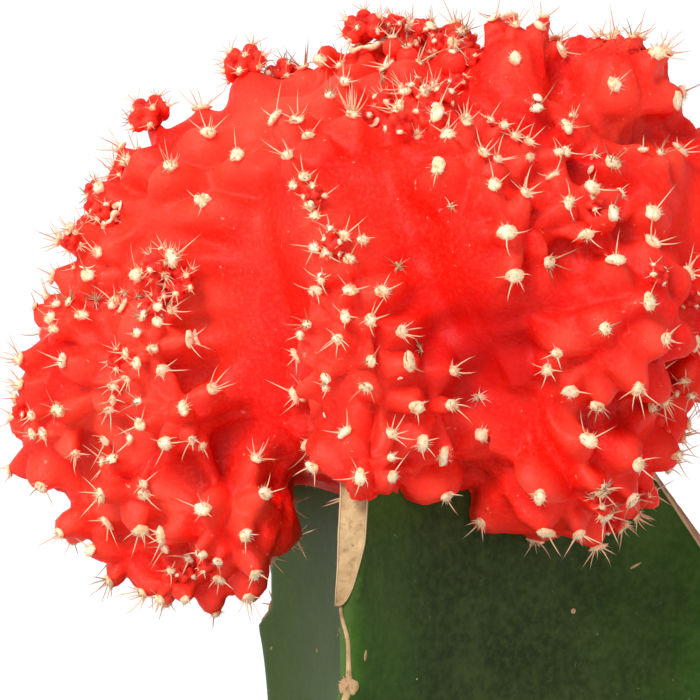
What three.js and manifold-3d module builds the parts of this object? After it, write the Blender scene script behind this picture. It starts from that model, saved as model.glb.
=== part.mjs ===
// A potted moon cactus: a red clumping globe cactus grafted on a three-winged green stock,
// which stands in potting soil in a plain clay pot. Millimetres, +Z up, viewer at -Y.
// The origin is on the surface that the pot stands on, at the middle of the pot.
import * as THREE from "three";
import { mergeVertices } from "three/addons/utils/BufferGeometryUtils.js";
import Module from "manifold-3d";

const wasm = await Module();
wasm.setup();

// Driving dimensions
const pot = {
  height: 80,
  rimRadius: 47,
  rimHeight: 15,
  rimStep: 2.8,
  footRadius: 32,
  wall: 4.2,
  floor: 6,
  drainRadius: 6,
  edge: 1,
  sides: 48,
};
const soil = {
  top: 70,
  lump: 1, // how far the surface rises and falls
  gap: 0.3, // clearance to the clay and to the stem
  sides: 36,
  rings: 6,
};
const stock = {
  base: 34, // the cut foot of the stem, inside the soil
  top: 147.5, // the flat cut that carries the grafted head
  radius: 26.7, // axis to the edge of a wing
  faceRadius: 9.5, // axis to the middle of the hollow face between two wings
  edgeHalf: 0.98, // half the thickness of a wing at its edge
  swell: 1.78, // how fast a wing thickens towards the axis
  notch: 130, // height of one ring of notches
  pitch: 27, // notch to notch along a wing
  lobe: 2.2, // how far a wing's edge stands out under a notch
  rise: 0.07, // share of the pitch in which it does so
  falls: [0.75, 0.45, 0.2, 0.07, 0], // levels of its rings in one pitch, as shares of it
  cutLevels: [3, 6.9, 10.2, 13.5], // heights of its rings above the last notch, along the slanting cuts
  shares: [0.2, 0.45, 0.7, 0.9, 1], // places of its points from the face to the edge of a wing
  fade: 12, // height at both ends in which the lift of the notches fades out
  blunt: 0.45, // thickness left at a grown edge, as a share of that at a cut one
  crest: 0.2, // how far a grown edge stands out in its middle
};
// Each wing has its bearing from the viewer's direction, the level above which its edge is cut off
// slanting, how far that cut leans in per millimetre of height, and the lift of its notches.
const wings = [
  { bearing: -22, cutFrom: 136.9, slope: 0.155, lift: 0 },
  { bearing: 98, cutFrom: 140.2, slope: 0.98, lift: -5 },
  { bearing: 221, cutFrom: 140, slope: 0.556, lift: 2 },
];
const head = {
  lift: 18, // centre of the mother globe above the graft
  aside: -2, // how far it sits to the viewer's right of the stem, so this is a little to the left
  ribs: 8,
  rows: 12, // rows of faces from its crown to its foot
  radius: 23.5,
  top: 18, // the crown above the centre
  bottom: 21.5, // the foot below it, before the graft cuts it flat
  fullTop: 2.2, // fullness of its outline above the centre, where 2 is an ellipse
  fullBottom: 2.7, // and below it
  valley: 0.22, // depth of the valleys between its ribs, as a share of the radius
  firstRib: -25, // bearing of a rib at the equator, in degrees
  twist: 36, // degrees that a rib turns from the equator to the pole
  finest: 0.3, // the shortest edge that is kept on it
  gap: 0.4, // clearance to the stock
};
const offsetShape = {
  bump: 0.08, // how far the skin rises under an areole, as a share of the size
  groove: 0.09, // depth of the valleys between two ribs, as a share of the size
  bead: 1.9, // up to this size, in millimetres, it has three rows of faces
  small: 3, // up to this size it has three ribs
  medium: 5, // up to this size it has four ribs, and above it five
  carrier: 8, // above this size it mostly hides under others, with few rows
  low: 3, // how far below the head's centre the point is that they all grow away from
  buried: 0.93, // a point this near to another's centre, as a share of its size, is under its skin
};
const spine = {
  length: 2.6,
  radius: 0.17,
  root: 0.6, // how deep it stands in the skin
  sides: 3,
  lean: 0.75, // how far it may lean away from straight out
  share: 0.8, // how many areoles have one
  inset: 0.3, // how far it stands beside the corner of its areole, as a share of the way to the next
  finest: 0.1, // the shortest edge that is kept once they are on
};

// The tilt and distance that the front of the head is seen from
const viewTilt = THREE.MathUtils.degToRad(3);
const viewDistance = 350;
const viewAim = new THREE.Vector2(-9.1, -8.1); // the middle of the view, from the head's centre

// Offsets that show from the front, as [across, up, forward, radius] from the head's centre
const frontOffsets = [
  // large ones that carry the others
  [-22, 2.6, -1, 9.8],
  [-26, -9, 2, 9.5],
  [-23, -18, 4, 8.5],
  [16.2, 2.8, -2, 11.2],
  [17, -4.5, -1, 10.5],
  [10, -14, 4, 10],
  [9, 10.8, 0, 8.2],
  [-2, 15, 0, 5.3],
  // left shoulder
  [-25.4, 10.3, 0, 2.6],
  [-22.1, 7.6, 3, 3.6],
  [-24.4, 5.0, 6, 3.6],
  [-29.2, 5.4, 1, 3.2],
  [-31.4, 5.6, -0.5, 1.8],
  [-17.7, 15.1, -0.5, 2.2],
  [-16.8, 13.0, 1, 2.9],
  [-14.3, 11.0, 5, 3.8],
  [-11.9, 14.6, 1.5, 2.4],
  [-11.0, 17.9, 0.5, 1.4],
  // left edge and left front
  [-31.3, 0.4, 2, 3.7],
  [-32.9, -2.4, 4, 2.6],
  [-33.8, -6.5, 5, 4.2],
  [-34.2, -13.9, 3, 5.4],
  [-36.7, -9.8, 3, 2.2],
  [-37.6, -12.8, 2.5, 1.9],
  [-38.0, -15.4, 2, 1.7],
  [-35.6, -17.0, 2, 3.8],
  [-31.6, -22.6, 4, 3.8],
  [-29.2, -26.7, 6, 3.2],
  [-25.6, -1.2, 10.5, 2.2],
  [-26.2, -5.2, 11.5, 2.4],
  [-27.3, -8.3, 12, 3.4],
  [-30.5, -10.8, 8, 4.1],
  [-24.6, -14.4, 12, 4.3],
  [-28.2, -20.0, 10, 4.0],
  [-19.9, -23.4, 10, 5.9],
  [-25.5, -24.5, 7, 3.6],
  // left underside
  [-25.2, -29.1, 9, 2.5],
  [-22.5, -28.5, 7, 2.4],
  [-18.8, -28.8, 9, 2.2],
  // crown
  [-7.6, 18.1, 1, 2.0],
  [-8.0, 14.6, 2.5, 2.6],
  [-9.6, 13.0, 7, 3.2],
  [-5.2, 19.0, 3.5, 1.0],
  [-3.9, 18.1, 4.5, 1.05],
  [0.1, 17.5, 6, 1.2],
  [0.1, 19.4, 2.5, 1.4],
  [-1.9, 19.6, -0.5, 1.6],
  [-4.9, 20.9, -1, 1.3],
  [-2.9, 20.7, -2, 1.5],
  [-0.7, 20.7, -1.5, 1.4],
  [1.4, 20.0, -2, 1.6],
  [-4.2, 18.2, -2, 2.4],
  [-0.8, 18.0, -3, 2.6],
  [-4.0, 16.2, 5, 1.6],
  [-2.9, 14.4, 8, 1.9],
  [-1.3, 12.9, 9, 1.5],
  [-5.0, 12.2, 9, 1.8],
  [-7.2, 12.8, 8.5, 1.5],
  // middle rib
  [-13.2, 6.7, 17, 1.8],
  [-12.2, 4.1, 18, 1.0],
  [-11.1, 0.7, 19, 2.0],
  [-8.9, 2.0, 19, 1.4],
  [-12.5, -2.3, 20, 1.8],
  [-9.1, -2.5, 20, 2.0],
  [-6.0, -2.9, 19, 1.3],
  [-13.0, -6.3, 19, 1.7],
  [-9.6, -5.6, 21, 2.5],
  [-6.9, -5.9, 21, 2.0],
  [-4.2, -6.7, 19, 1.8],
  [-10.7, -10.1, 20, 2.9],
  [-7.1, -9.4, 21, 2.5],
  [-3.7, -9.5, 19, 2.2],
  // middle cluster
  [-8.9, -15.5, 17.5, 4.1],
  [-6.8, -12.6, 19, 3.4],
  [-2.6, -13.0, 18, 3.4],
  [-5.5, -18.0, 16, 4.7],
  [-7.4, -18.9, 21.6, 3.3],
  [-1.0, -16.7, 14, 4.2],
  [1.0, -12.2, 15, 2.3],
  // right shoulder and right rib
  [5.9, 17.2, 4, 4.5],
  [14.9, 14.9, 3, 5.6],
  [12.0, 19.2, 1, 1.9],
  [0.6, 10.8, 16, 2.2],
  [3.5, 11.5, 15, 2.5],
  [1.9, 7.4, 18, 3.2],
  [6.2, 9.7, 15, 2.2],
  [4.9, 2.5, 19.5, 4.4],
  [10.9, 3.4, 17, 4.1],
  [9.6, 8.8, 14, 2.6],
  // right front and underside
  [17.2, 6.3, 9, 4.1],
  [16.6, 1.8, 12, 3.6],
  [13.9, -5.8, 15, 7.2],
  [21.0, -9.7, 6, 3.5],
  [9.8, -17.4, 11, 7.7],
  [16.4, -16.0, 7, 4.2],
  [4.0, -21.6, 9, 2.9],
  [13.9, -22.0, 8, 2.0],
  [17.0, -21.6, 7, 1.6],
  [18.1, -15.4, 4, 2.4],
  // right edge past the picture
  [22.3, 8.7, 1, 3.2],
  [22.8, 3.1, 3, 4.7],
  [23.5, -4.1, 5, 4.5],
  [27.6, 7.6, -6, 4.0],
  [29.2, 2.2, -4, 5.0],
  [30.5, -5.4, -3, 4.9],
  [30.1, -12.8, -2, 5.0],
  [29.5, -16.5, -4, 4.8],
];

// Buds that stand on them, written the same way
const buds = [
  [-27.1, 12.9, -1, 1.95],
  [-18.5, 17.4, -1, 2.0],
  [-15.2, 16.7, -3, 1.4],
  [-7.9, 20.6, 1.5, 1.85],
  [-29.6, 8.2, 0.5, 0.9],
  [-32.1, 6.3, -0.5, 0.9],
  [-31.3, 4.4, 3.5, 1.1],
  [-33.6, -1.2, 3, 1.1],
  [-25.7, -0.4, 12.4, 1.5],
  [-24.2, -2.0, 13.0, 1.4],
  [13.7, -20.8, 10, 1.5],
  [-5.4, 21.0, 0, 1.1],
];

// Offsets on the sides and at the back, in rings that the front ones complete. Some rings start
// further back, because the head's right side is low at the top and ends high above the wing
const backRings = [
  { height: -1, reach: 16.5, size: 11.5, count: 4, from: 92 },
  { height: -10, reach: 18, size: 11, count: 3, from: 126 },
  { height: 7, reach: 11, size: 10, count: 2 },
  { height: 11.5, reach: 13, size: 4.2, count: 4 },
  { height: 6.5, reach: 22, size: 4.6, count: 6, from: 108 },
  { height: -0.5, reach: 26.5, size: 5.2, count: 7 },
  { height: -9, reach: 28, size: 5.6, count: 7 },
  { height: -18.5, reach: 25, size: 5.8, count: 5, from: 150 },
];
const backFrom = 72; // bearings, in degrees
const backTo = 288;
const backJitter = { bearing: 7, height: 1.6, reach: 1.8, size: 0.22 };

const largestSweep = 0.03; // cubic millimetres that a face may sweep over where a short edge goes

// The same number from 0 to 1 for the same seed, on every run
function chance(seed) {
  const wave = Math.sin(seed * 12.9898 + 4.1414) * 43758.5453;
  return wave - Math.floor(wave);
}

function spread(seed) {
  return 2 * chance(seed) - 1;
}

// A point at a bearing from the viewer's direction, which is -Y; positive bearings are to the right
function atBearing(degrees, reach, height) {
  const turn = THREE.MathUtils.degToRad(degrees);
  return new THREE.Vector3(reach * Math.sin(turn), -reach * Math.cos(turn), height);
}

// The point that the viewer sees at (across, up) and that stands forward of the head's axis
function seenPoint(across, up, forward) {
  const nearer = 1 - forward / viewDistance;
  const side = viewAim.x + (across - viewAim.x) * nearer;
  const rise = viewAim.y + (up - viewAim.y) * nearer;
  return new THREE.Vector3(side, -forward, (rise + forward * Math.sin(viewTilt)) / Math.cos(viewTilt));
}

function toSolid(geometry) {
  const bare = geometry.clone();
  bare.deleteAttribute("normal");
  bare.deleteAttribute("uv");
  const merged = mergeVertices(bare, 1e-4);
  return new wasm.Manifold(
    new wasm.Mesh({
      numProp: 3,
      vertProperties: merged.attributes.position.array,
      triVerts: new Uint32Array(merged.index.array),
    }),
  );
}

// One solid of many, joined pair by pair
function join(solids) {
  let row = solids;
  while (row.length > 1) {
    const next = [];
    for (let i = 0; i < row.length; i += 2) {
      if (i + 1 === row.length) {
        next.push(row[i]);
        continue;
      }
      const both = row[i].add(row[i + 1]);
      both.numTri(); // makes the library work it out before its sources go
      row[i].delete();
      row[i + 1].delete();
      next.push(both);
    }
    row = next;
  }
  return row[0];
}

// The piece that holds nearly all of a solid, without loose scraps and sealed hollows
function largest(solid) {
  return solid.decompose().reduce((a, b) => (a.volume() > b.volume() ? a : b));
}

function toGeometry(solid) {
  const mesh = solid.getMesh();
  const geometry = new THREE.BufferGeometry();
  geometry.setAttribute("position", new THREE.BufferAttribute(mesh.vertProperties, 3));
  geometry.setIndex(new THREE.BufferAttribute(mesh.triVerts, 1));
  geometry.computeVertexNormals();
  return geometry;
}

// The normal of a triangle of points, as long as twice its area
function faceNormal(a, b, c) {
  return b.clone().sub(a).cross(c.clone().sub(a));
}

// Draws in each edge that is shorter than a limit, where that doesn't fold the skin over,
// pinch it or move a large face. Cuts leave many such edges behind.
function closeShortEdges(geometry, limit) {
  const place = geometry.attributes.position;
  const points = Array.from({ length: place.count }, (_, i) =>
    new THREE.Vector3().fromBufferAttribute(place, i),
  );
  const faces = [];
  for (let i = 0; i < geometry.index.count; i += 3) {
    faces.push([0, 1, 2].map((k) => geometry.index.getX(i + k)));
  }
  const around = points.map(() => new Set());
  faces.forEach((face, i) => face.forEach((corner) => around[corner].add(i)));
  const neighbours = (corner) => {
    const found = new Set([...around[corner]].flatMap((i) => faces[i]));
    found.delete(corner);
    return found;
  };
  const canClose = (kept, gone) => {
    const beside = neighbours(kept);
    if ([...neighbours(gone)].filter((corner) => beside.has(corner)).length !== 2) return false;
    const step = points[kept].clone().sub(points[gone]);
    return [...around[gone]].every((i) => {
      if (faces[i].includes(kept)) return true;
      const before = faceNormal(...faces[i].map((corner) => points[corner]));
      const after = faceNormal(...faces[i].map((corner) => points[corner === gone ? kept : corner]));
      const isOpen = after.length() > 1e-3;
      const isAlike = after.dot(before) > 0.5 * after.length() * before.length();
      return isOpen && isAlike && Math.abs(step.dot(before)) / 6 < largestSweep;
    });
  };
  let closed = 1;
  while (closed > 0) {
    closed = 0;
    for (let i = 0; i < faces.length; i++) {
      for (const [a, b] of [[0, 1], [1, 2], [2, 0], [1, 0], [2, 1], [0, 2]]) {
        if (!faces[i]) break;
        const kept = faces[i][a];
        const gone = faces[i][b];
        if (points[kept].distanceTo(points[gone]) > limit || !canClose(kept, gone)) continue;
        for (const k of [...around[gone]]) {
          around[gone].delete(k);
          if (faces[k].includes(kept)) {
            faces[k].forEach((corner) => around[corner].delete(k));
            faces[k] = null;
          } else {
            faces[k] = faces[k].map((corner) => (corner === gone ? kept : corner));
            around[kept].add(k);
          }
        }
        closed += 1;
      }
    }
  }
  const left = geometry.clone();
  left.setIndex(faces.filter((face) => face).flat());
  const loose = left.toNonIndexed();
  loose.deleteAttribute("normal");
  const merged = mergeVertices(loose, 1e-6);
  merged.computeVertexNormals();
  return merged;
}

function namedMesh(name, geometry, finish) {
  const mesh = new THREE.Mesh(geometry, new THREE.MeshStandardMaterial(finish));
  mesh.name = name;
  return mesh;
}

// Clay pot: one turned outline with a drain hole in its floor

function potRadius(height) {
  const rise = height / (pot.height - pot.rimHeight);
  return pot.footRadius + (pot.rimRadius - pot.rimStep - pot.footRadius) * rise;
}

function innerRadius(height) {
  const top = pot.rimRadius - pot.wall;
  const bottom = potRadius(pot.floor) - pot.wall;
  return bottom + ((top - bottom) * (height - pot.floor)) / (pot.height - pot.floor);
}

function buildPot() {
  const neck = pot.height - pot.rimHeight;
  const outline = [
    [pot.drainRadius, 0],
    [potRadius(0) - pot.edge, 0],
    [potRadius(0), pot.edge],
    [potRadius(neck), neck],
    [pot.rimRadius - pot.edge, neck],
    [pot.rimRadius, neck + pot.edge],
    [pot.rimRadius, pot.height - pot.edge],
    [pot.rimRadius - pot.edge, pot.height],
    [innerRadius(pot.height) + pot.edge, pot.height],
    [innerRadius(pot.height), pot.height - pot.edge],
    [innerRadius(pot.floor), pot.floor],
    [pot.drainRadius, pot.floor],
    [pot.drainRadius, 0],
  ];
  const points = outline.map(([x, y]) => new THREE.Vector2(x, y));
  return new THREE.LatheGeometry(points, pot.sides).rotateX(Math.PI / 2);
}

// Stock: rings of points up a stem with three thin wings

function grownRadius(z) {
  const fall = (stock.notch - z) / stock.pitch;
  const along = fall - Math.floor(fall);
  let tooth = 1 - along / stock.rise;
  if (along > stock.rise) tooth = 1 - Math.exp((-4 * (along - stock.rise)) / (1 - stock.rise));
  return stock.radius - stock.lobe * tooth;
}

function wingRadius(wing, z) {
  if (z <= wing.cutFrom) return { reach: grownRadius(z), isCut: false };
  const cut = grownRadius(wing.cutFrom) - wing.slope * (z - wing.cutFrom);
  return { reach: Math.min(grownRadius(z), cut), isCut: true };
}

function halfThickness(along) {
  const faceAlong = stock.faceRadius / 2;
  const faceHalf = stock.faceRadius * Math.sin(Math.PI / 3);
  const share = (stock.radius - along) / (stock.radius - faceAlong);
  return stock.edgeHalf + (faceHalf - stock.edgeHalf) * Math.pow(Math.max(0, share), stock.swell);
}

// One ring around the stem; grow is a clearance added all round
function stockRing(z, grow) {
  const faceAlong = stock.faceRadius / 2;
  const fade = Math.min(1, (stock.top - z) / stock.fade, (z - stock.base) / stock.fade);
  const ring = [];
  for (const wing of wings) {
    const { reach, isCut } = wingRadius(wing, z);
    const lift = wing.lift * Math.max(0, fade);
    const turn = THREE.MathUtils.degToRad(wing.bearing - 90);
    const put = (along, aside, rise) => {
      const x = along * Math.cos(turn) - aside * Math.sin(turn);
      const y = along * Math.sin(turn) + aside * Math.cos(turn);
      ring.push([x, y, z + rise]);
    };
    const side = stock.shares.map((share) => {
      const along = faceAlong + (reach - faceAlong) * share;
      const blunt = share === 1 && !isCut ? stock.blunt : 1;
      const out = share === 1 ? grow : 0;
      return [along + out, halfThickness(along) * blunt + grow, lift * share];
    });
    side.forEach(([along, aside, rise]) => put(along, -aside, rise));
    put(reach + grow + (isCut ? 0 : stock.crest), 0, lift);
    side.reverse().forEach(([along, aside, rise]) => put(along, aside, rise));
    const middle = stock.faceRadius + grow;
    put(middle * Math.cos(Math.PI / 3), middle * Math.sin(Math.PI / 3), 0);
  }
  return ring;
}

function buildStock(grow, base, top) {
  const levels = [base];
  for (let notch = stock.notch - 3 * stock.pitch; notch <= stock.notch; notch += stock.pitch) {
    for (const fall of stock.falls) {
      const z = notch - fall * stock.pitch;
      if (z > stock.base + stock.fade / 2) levels.push(z);
    }
  }
  for (const rise of stock.cutLevels) levels.push(stock.notch + rise);
  levels.push(top);
  const rings = levels.map((z) => stockRing(z, grow));
  const count = rings[0].length;
  const points = rings.flat(2);
  const faces = [];
  for (let level = 0; level + 1 < rings.length; level++) {
    for (let i = 0; i < count; i++) {
      const a = level * count + i;
      const b = level * count + ((i + 1) % count);
      faces.push(a, b, b + count, a, b + count, a + count);
    }
  }
  const foot = points.length / 3;
  points.push(0, 0, base, 0, 0, top);
  const last = (rings.length - 1) * count;
  for (let i = 0; i < count; i++) {
    const next = (i + 1) % count;
    faces.push(foot, next, i, foot + 1, last + i, last + next);
  }
  const geometry = new THREE.BufferGeometry();
  geometry.setAttribute("position", new THREE.Float32BufferAttribute(points, 3));
  geometry.setIndex(faces);
  geometry.computeVertexNormals();
  return geometry;
}

// Soil: a plug with a crumbly top and a hole for the stem

function buildSoil() {
  const bottom = pot.floor + soil.gap;
  const outline = [new THREE.Vector2(0, bottom)];
  outline.push(new THREE.Vector2(innerRadius(bottom) - soil.gap, bottom));
  const rim = innerRadius(soil.top) - soil.gap;
  for (let i = soil.rings; i >= 0; i--) {
    outline.push(new THREE.Vector2((rim * i) / soil.rings, soil.top));
  }
  const plug = new THREE.LatheGeometry(outline, soil.sides).rotateX(Math.PI / 2);
  const place = plug.attributes.position;
  for (let i = 0; i < place.count; i++) {
    const x = place.getX(i);
    const y = place.getY(i);
    if (place.getZ(i) < soil.top || Math.hypot(x, y) > rim - 1) continue;
    const wave = Math.sin(x * 0.31 + 1) * Math.cos(y * 0.27) + Math.sin(x * 0.9 - y * 0.7);
    place.setZ(i, soil.top + wave * 0.5 * soil.lump);
  }
  const hole = buildStock(soil.gap, stock.base - soil.gap, stock.top);
  return toGeometry(toSolid(plug).subtract(toSolid(hole)));
}

// Head: a ribbed mother globe covered in offsets, each one a small globe cactus

// Radius of an offset towards (polar, turn) from its crown, as a share of its size.
// Ribs run from crown to foot, and the skin rises to a point under each areole.
function offsetShare(globe, polar, turn) {
  const phase = (turn * globe.ribs) / (2 * Math.PI);
  const rib = Math.round(phase);
  const valley = Math.abs(phase - rib) * 2;
  const step = Math.PI / globe.rows;
  const row = Math.round(polar / step);
  const pole = row < 1 || row >= globe.rows;
  const tip = !pole && (row + rib) % 2 === 0 && valley < 0.1;
  return 1 - offsetShape.groove * valley * Math.sin(polar) + (tip ? offsetShape.bump : 0);
}

function makeOffset(centre, size, seed) {
  const heart = new THREE.Vector3(head.aside / 2, 0, -offsetShape.low);
  const axis = centre.clone().sub(heart).normalize();
  const side = new THREE.Vector3(0, 0, 1).cross(axis).normalize();
  const basis = new THREE.Matrix4().makeBasis(side, axis.clone().cross(side), axis);
  let ribs = 5;
  if (size < offsetShape.small) ribs = 3;
  else if (size < offsetShape.medium) ribs = 4;
  let rows = 4;
  if (size < offsetShape.bead) rows = 3;
  else if (size > offsetShape.medium && size < offsetShape.carrier) rows = 5;
  return { centre, size, ribs, rows, basis, spin: chance(seed) * Math.PI, seed };
}

function seenOffset([across, up, forward, radius], i) {
  return makeOffset(seenPoint(across, up, forward), radius, i + 1);
}

function listOffsets() {
  const found = frontOffsets.map(seenOffset);
  for (const ring of backRings) {
    const from = ring.from ?? backFrom;
    const step = (backTo - from) / ring.count;
    for (let i = 0; i < ring.count; i++) {
      const seed = 200 + found.length * 7;
      const bearing = from + (i + 0.5) * step + backJitter.bearing * spread(seed);
      const height = ring.height + backJitter.height * spread(seed + 1);
      const reach = ring.reach + backJitter.reach * spread(seed + 2);
      const size = ring.size * (1 + backJitter.size * spread(seed + 3));
      found.push(makeOffset(atBearing(bearing, reach, height), size, seed));
    }
  }
  return found.concat(buds.map(seenOffset));
}

function offsetPoint(offset, polar, turn) {
  const reach = offset.size * offsetShare(offset, polar, turn);
  const around = turn + offset.spin;
  const out = Math.sin(polar);
  const local = new THREE.Vector3(out * Math.cos(around), out * Math.sin(around), Math.cos(polar));
  return local.applyMatrix4(offset.basis).multiplyScalar(reach).add(offset.centre);
}

// A sphere's grid of points, each moved to where place(polar, turn) puts it
function shapedBall(sides, rows, place) {
  const ball = new THREE.SphereGeometry(1, sides, rows).rotateX(Math.PI / 2);
  const points = ball.attributes.position;
  for (let i = 0; i < points.count; i++) {
    const polar = Math.acos(THREE.MathUtils.clamp(points.getZ(i), -1, 1));
    const p = place(polar, Math.atan2(points.getY(i), points.getX(i)));
    points.setXYZ(i, p.x, p.y, p.z);
  }
  return toSolid(ball);
}

function motherPoint(polar, turn) {
  const lean = head.firstRib + head.twist * (polar / (Math.PI / 2) - 1);
  const phase = (turn * head.ribs) / (2 * Math.PI);
  const valley = Math.abs(phase - Math.round(phase)) * 2;
  const out = Math.sin(polar);
  const height = Math.cos(polar);
  const dip = 0.75 * Math.sin((valley * Math.PI) / 2) ** 2 + 0.25 * valley ** 2;
  const share = 1 - head.valley * Math.pow(out, 0.7) * dip;
  const full = height < 0 ? head.fullBottom : head.fullTop;
  const round = Math.pow(Math.pow(Math.abs(height), full) + Math.pow(out, full), -1 / full);
  const point = atBearing(
    THREE.MathUtils.radToDeg(turn) + lean,
    head.radius * round * share * out,
    (height < 0 ? head.bottom : head.top) * round * (0.6 + 0.4 * share) * height,
  );
  point.x += head.aside;
  return point;
}

// Whether a point is under another offset's skin
function isBuried(point, offsets, own) {
  return offsets.some((other) => {
    return other !== own && other.centre.distanceTo(point) < other.size * offsetShape.buried;
  });
}

// Whether a point is beside the stock, where a spine would run into it
function isAtStock(point) {
  return point.z < 1 - head.lift && Math.hypot(point.x, point.y) < stock.radius + 1;
}

function buildSpine(base, direction) {
  const length = spine.length + spine.root;
  const needle = new THREE.ConeGeometry(spine.radius, length, spine.sides);
  needle.translate(0, length / 2 - spine.root, 0);
  const turn = new THREE.Quaternion().setFromUnitVectors(new THREE.Vector3(0, 1, 0), direction);
  needle.applyQuaternion(turn);
  needle.translate(base.x, base.y, base.z);
  return toSolid(needle);
}

function listSpines(offsets) {
  const found = [];
  for (const offset of offsets) {
    const step = Math.PI / offset.rows;
    for (let row = 1; row < offset.rows - 1; row++) {
      for (let rib = row % 2; rib < offset.ribs; rib += 2) {
        const tip = offsetPoint(offset, row * step, (rib * 2 * Math.PI) / offset.ribs);
        const seed = offset.seed * 31 + row * 7 + rib;
        if (chance(seed + 9) > spine.share || isBuried(tip, offsets, offset) || isAtStock(tip)) continue;
        const lean = new THREE.Vector3(spread(seed), spread(seed + 1), spread(seed + 2));
        const direction = tip.clone().sub(offset.centre).normalize();
        direction.addScaledVector(lean, spine.lean).normalize();
        const next = (rib * 2 + 1) * Math.PI / offset.ribs;
        const beside = offsetPoint(offset, row * step, next);
        const inside = beside.lerp(offsetPoint(offset, (row + 1) * step, next), 0.5);
        const base = tip.clone().lerp(inside, spine.inset);
        if (!isAtStock(base.clone().addScaledVector(direction, spine.length))) {
          found.push(buildSpine(base, direction));
        }
      }
    }
  }
  return found;
}

function buildHead() {
  const offsets = listOffsets();
  const balls = offsets.map((offset) => {
    const place = (polar, turn) => offsetPoint(offset, polar, turn);
    return shapedBall(offset.ribs * 2, offset.rows, place);
  });
  balls.unshift(shapedBall(head.ribs * 4, head.rows, motherPoint));
  const stem = buildStock(head.gap, stock.base, stock.top + head.gap);
  stem.translate(0, 0, -stock.top - head.lift);
  const whole = largest(join(balls).subtract(toSolid(stem)));
  const body = toSolid(closeShortEdges(toGeometry(whole), head.finest));
  const spined = largest(join([body, join(listSpines(offsets))]));
  return closeShortEdges(toGeometry(spined), spine.finest);
}

const clay = namedMesh("pot", buildPot(), { color: 0xb5694a, roughness: 0.92, metalness: 0 });
const mix = namedMesh("soil", buildSoil(), { color: 0x3b2c22, roughness: 1, metalness: 0 });
const stem = namedMesh("rootstock", buildStock(0, stock.base, stock.top), {
  color: 0x35552b,
  roughness: 0.5,
  metalness: 0,
});
const scion = namedMesh("cactus_head", buildHead(), { color: 0xee2a18, roughness: 0.38, metalness: 0 });
scion.position.z = stock.top + head.lift;

const cactus = new THREE.Group();
cactus.add(clay, mix, stem, scion);

export default cactus;
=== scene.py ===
import math
import bmesh
import bpy
import numpy as np
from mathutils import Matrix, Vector
from mathutils.bvhtree import BVHTree
from mathutils.kdtree import KDTree


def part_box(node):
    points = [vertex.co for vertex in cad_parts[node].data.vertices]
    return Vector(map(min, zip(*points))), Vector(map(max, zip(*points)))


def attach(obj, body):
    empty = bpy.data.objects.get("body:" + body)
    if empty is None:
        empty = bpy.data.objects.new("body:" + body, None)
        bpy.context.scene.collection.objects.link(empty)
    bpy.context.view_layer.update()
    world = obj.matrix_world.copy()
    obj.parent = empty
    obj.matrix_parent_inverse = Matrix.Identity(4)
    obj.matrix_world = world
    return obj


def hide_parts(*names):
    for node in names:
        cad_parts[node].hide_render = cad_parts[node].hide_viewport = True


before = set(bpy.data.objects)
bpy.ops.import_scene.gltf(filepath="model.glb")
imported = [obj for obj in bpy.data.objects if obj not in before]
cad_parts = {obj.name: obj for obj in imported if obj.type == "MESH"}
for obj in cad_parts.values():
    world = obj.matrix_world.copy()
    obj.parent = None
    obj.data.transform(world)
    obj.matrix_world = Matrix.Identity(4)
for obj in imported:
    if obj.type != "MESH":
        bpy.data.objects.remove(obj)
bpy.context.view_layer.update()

# A potted moon cactus. Sizes are in millimetres; the meshes are written in metres.
mm = 0.001
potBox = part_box("pot")
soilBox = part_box("soil")
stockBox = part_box("rootstock")
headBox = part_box("cactus_head")


def chance(seed):
    wave = math.sin(seed * 12.9898 + 4.1414) * 43758.5453
    return wave - math.floor(wave)


def spread(seed):
    return 2 * chance(seed) - 1


def unit(v):
    v = np.asarray(v, float)
    return v / np.maximum(np.linalg.norm(v, axis=-1, keepdims=True), 1e-9)


def ripple(points, size, seed, waves=5):
    # soft bumps between about -1 and 1, the same on every run
    total = 0
    for i in range(waves):
        way = np.array([spread(seed + i * 3.7 + k) for k in range(3)])
        wave = points @ unit(way) * (2 * math.pi / size) * (0.7 + 0.6 * chance(seed + i))
        total = total + np.sin(wave + 9 * i)
    return total / math.sqrt(waves * 2)


def sideways(normal):
    # two directions square to a normal
    normal = unit(normal)
    helper = np.array([0, 0, 1.0]) if abs(normal[2]) < 0.9 else np.array([1.0, 0, 0])
    first = unit(np.cross(helper, normal))
    return first, np.cross(normal, first)


def around(turn, first, second):
    # turned from the first direction towards the second
    return math.cos(turn) * first + math.sin(turn) * second


def bands(rows, sides, start=0, isLoop=False):
    # squares between rings of points; in a loop the last ring also joins the first
    faces = []
    for k in range(rows if isLoop else rows - 1):
        low, high = start + k * sides, start + (k + 1) % rows * sides
        for s in range(sides):
            after = (s + 1) % sides
            faces.append([low + s, low + after, high + after, high + s])
    return faces


def closedTube(rows, sides):
    last = (rows - 1) * sides
    return bands(rows, sides) + [list(range(sides))[::-1], [last + s for s in range(sides)]]


def ringAround(place, size, first, second, sides):
    return [place + size * around(2 * math.pi * s / sides, first, second) for s in range(sides)]


def makePiece(name, points, faces, material, smooth=True, numbers=None):
    mesh = bpy.data.meshes.new(name)
    mesh.from_pydata((np.asarray(points) * mm).tolist(), [], [list(map(int, f)) for f in faces])
    mesh.validate()
    for key, values in (numbers or {}).items():
        mesh.attributes.new(key, "FLOAT", "POINT").data.foreach_set("value", np.asarray(values, np.float32))
    mesh.materials.append(material)
    mesh.polygons.foreach_set("use_smooth", [smooth] * len(mesh.polygons))
    piece = bpy.data.objects.new(name, mesh)
    bpy.context.scene.collection.objects.link(piece)
    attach(piece, "root")
    return piece


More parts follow.
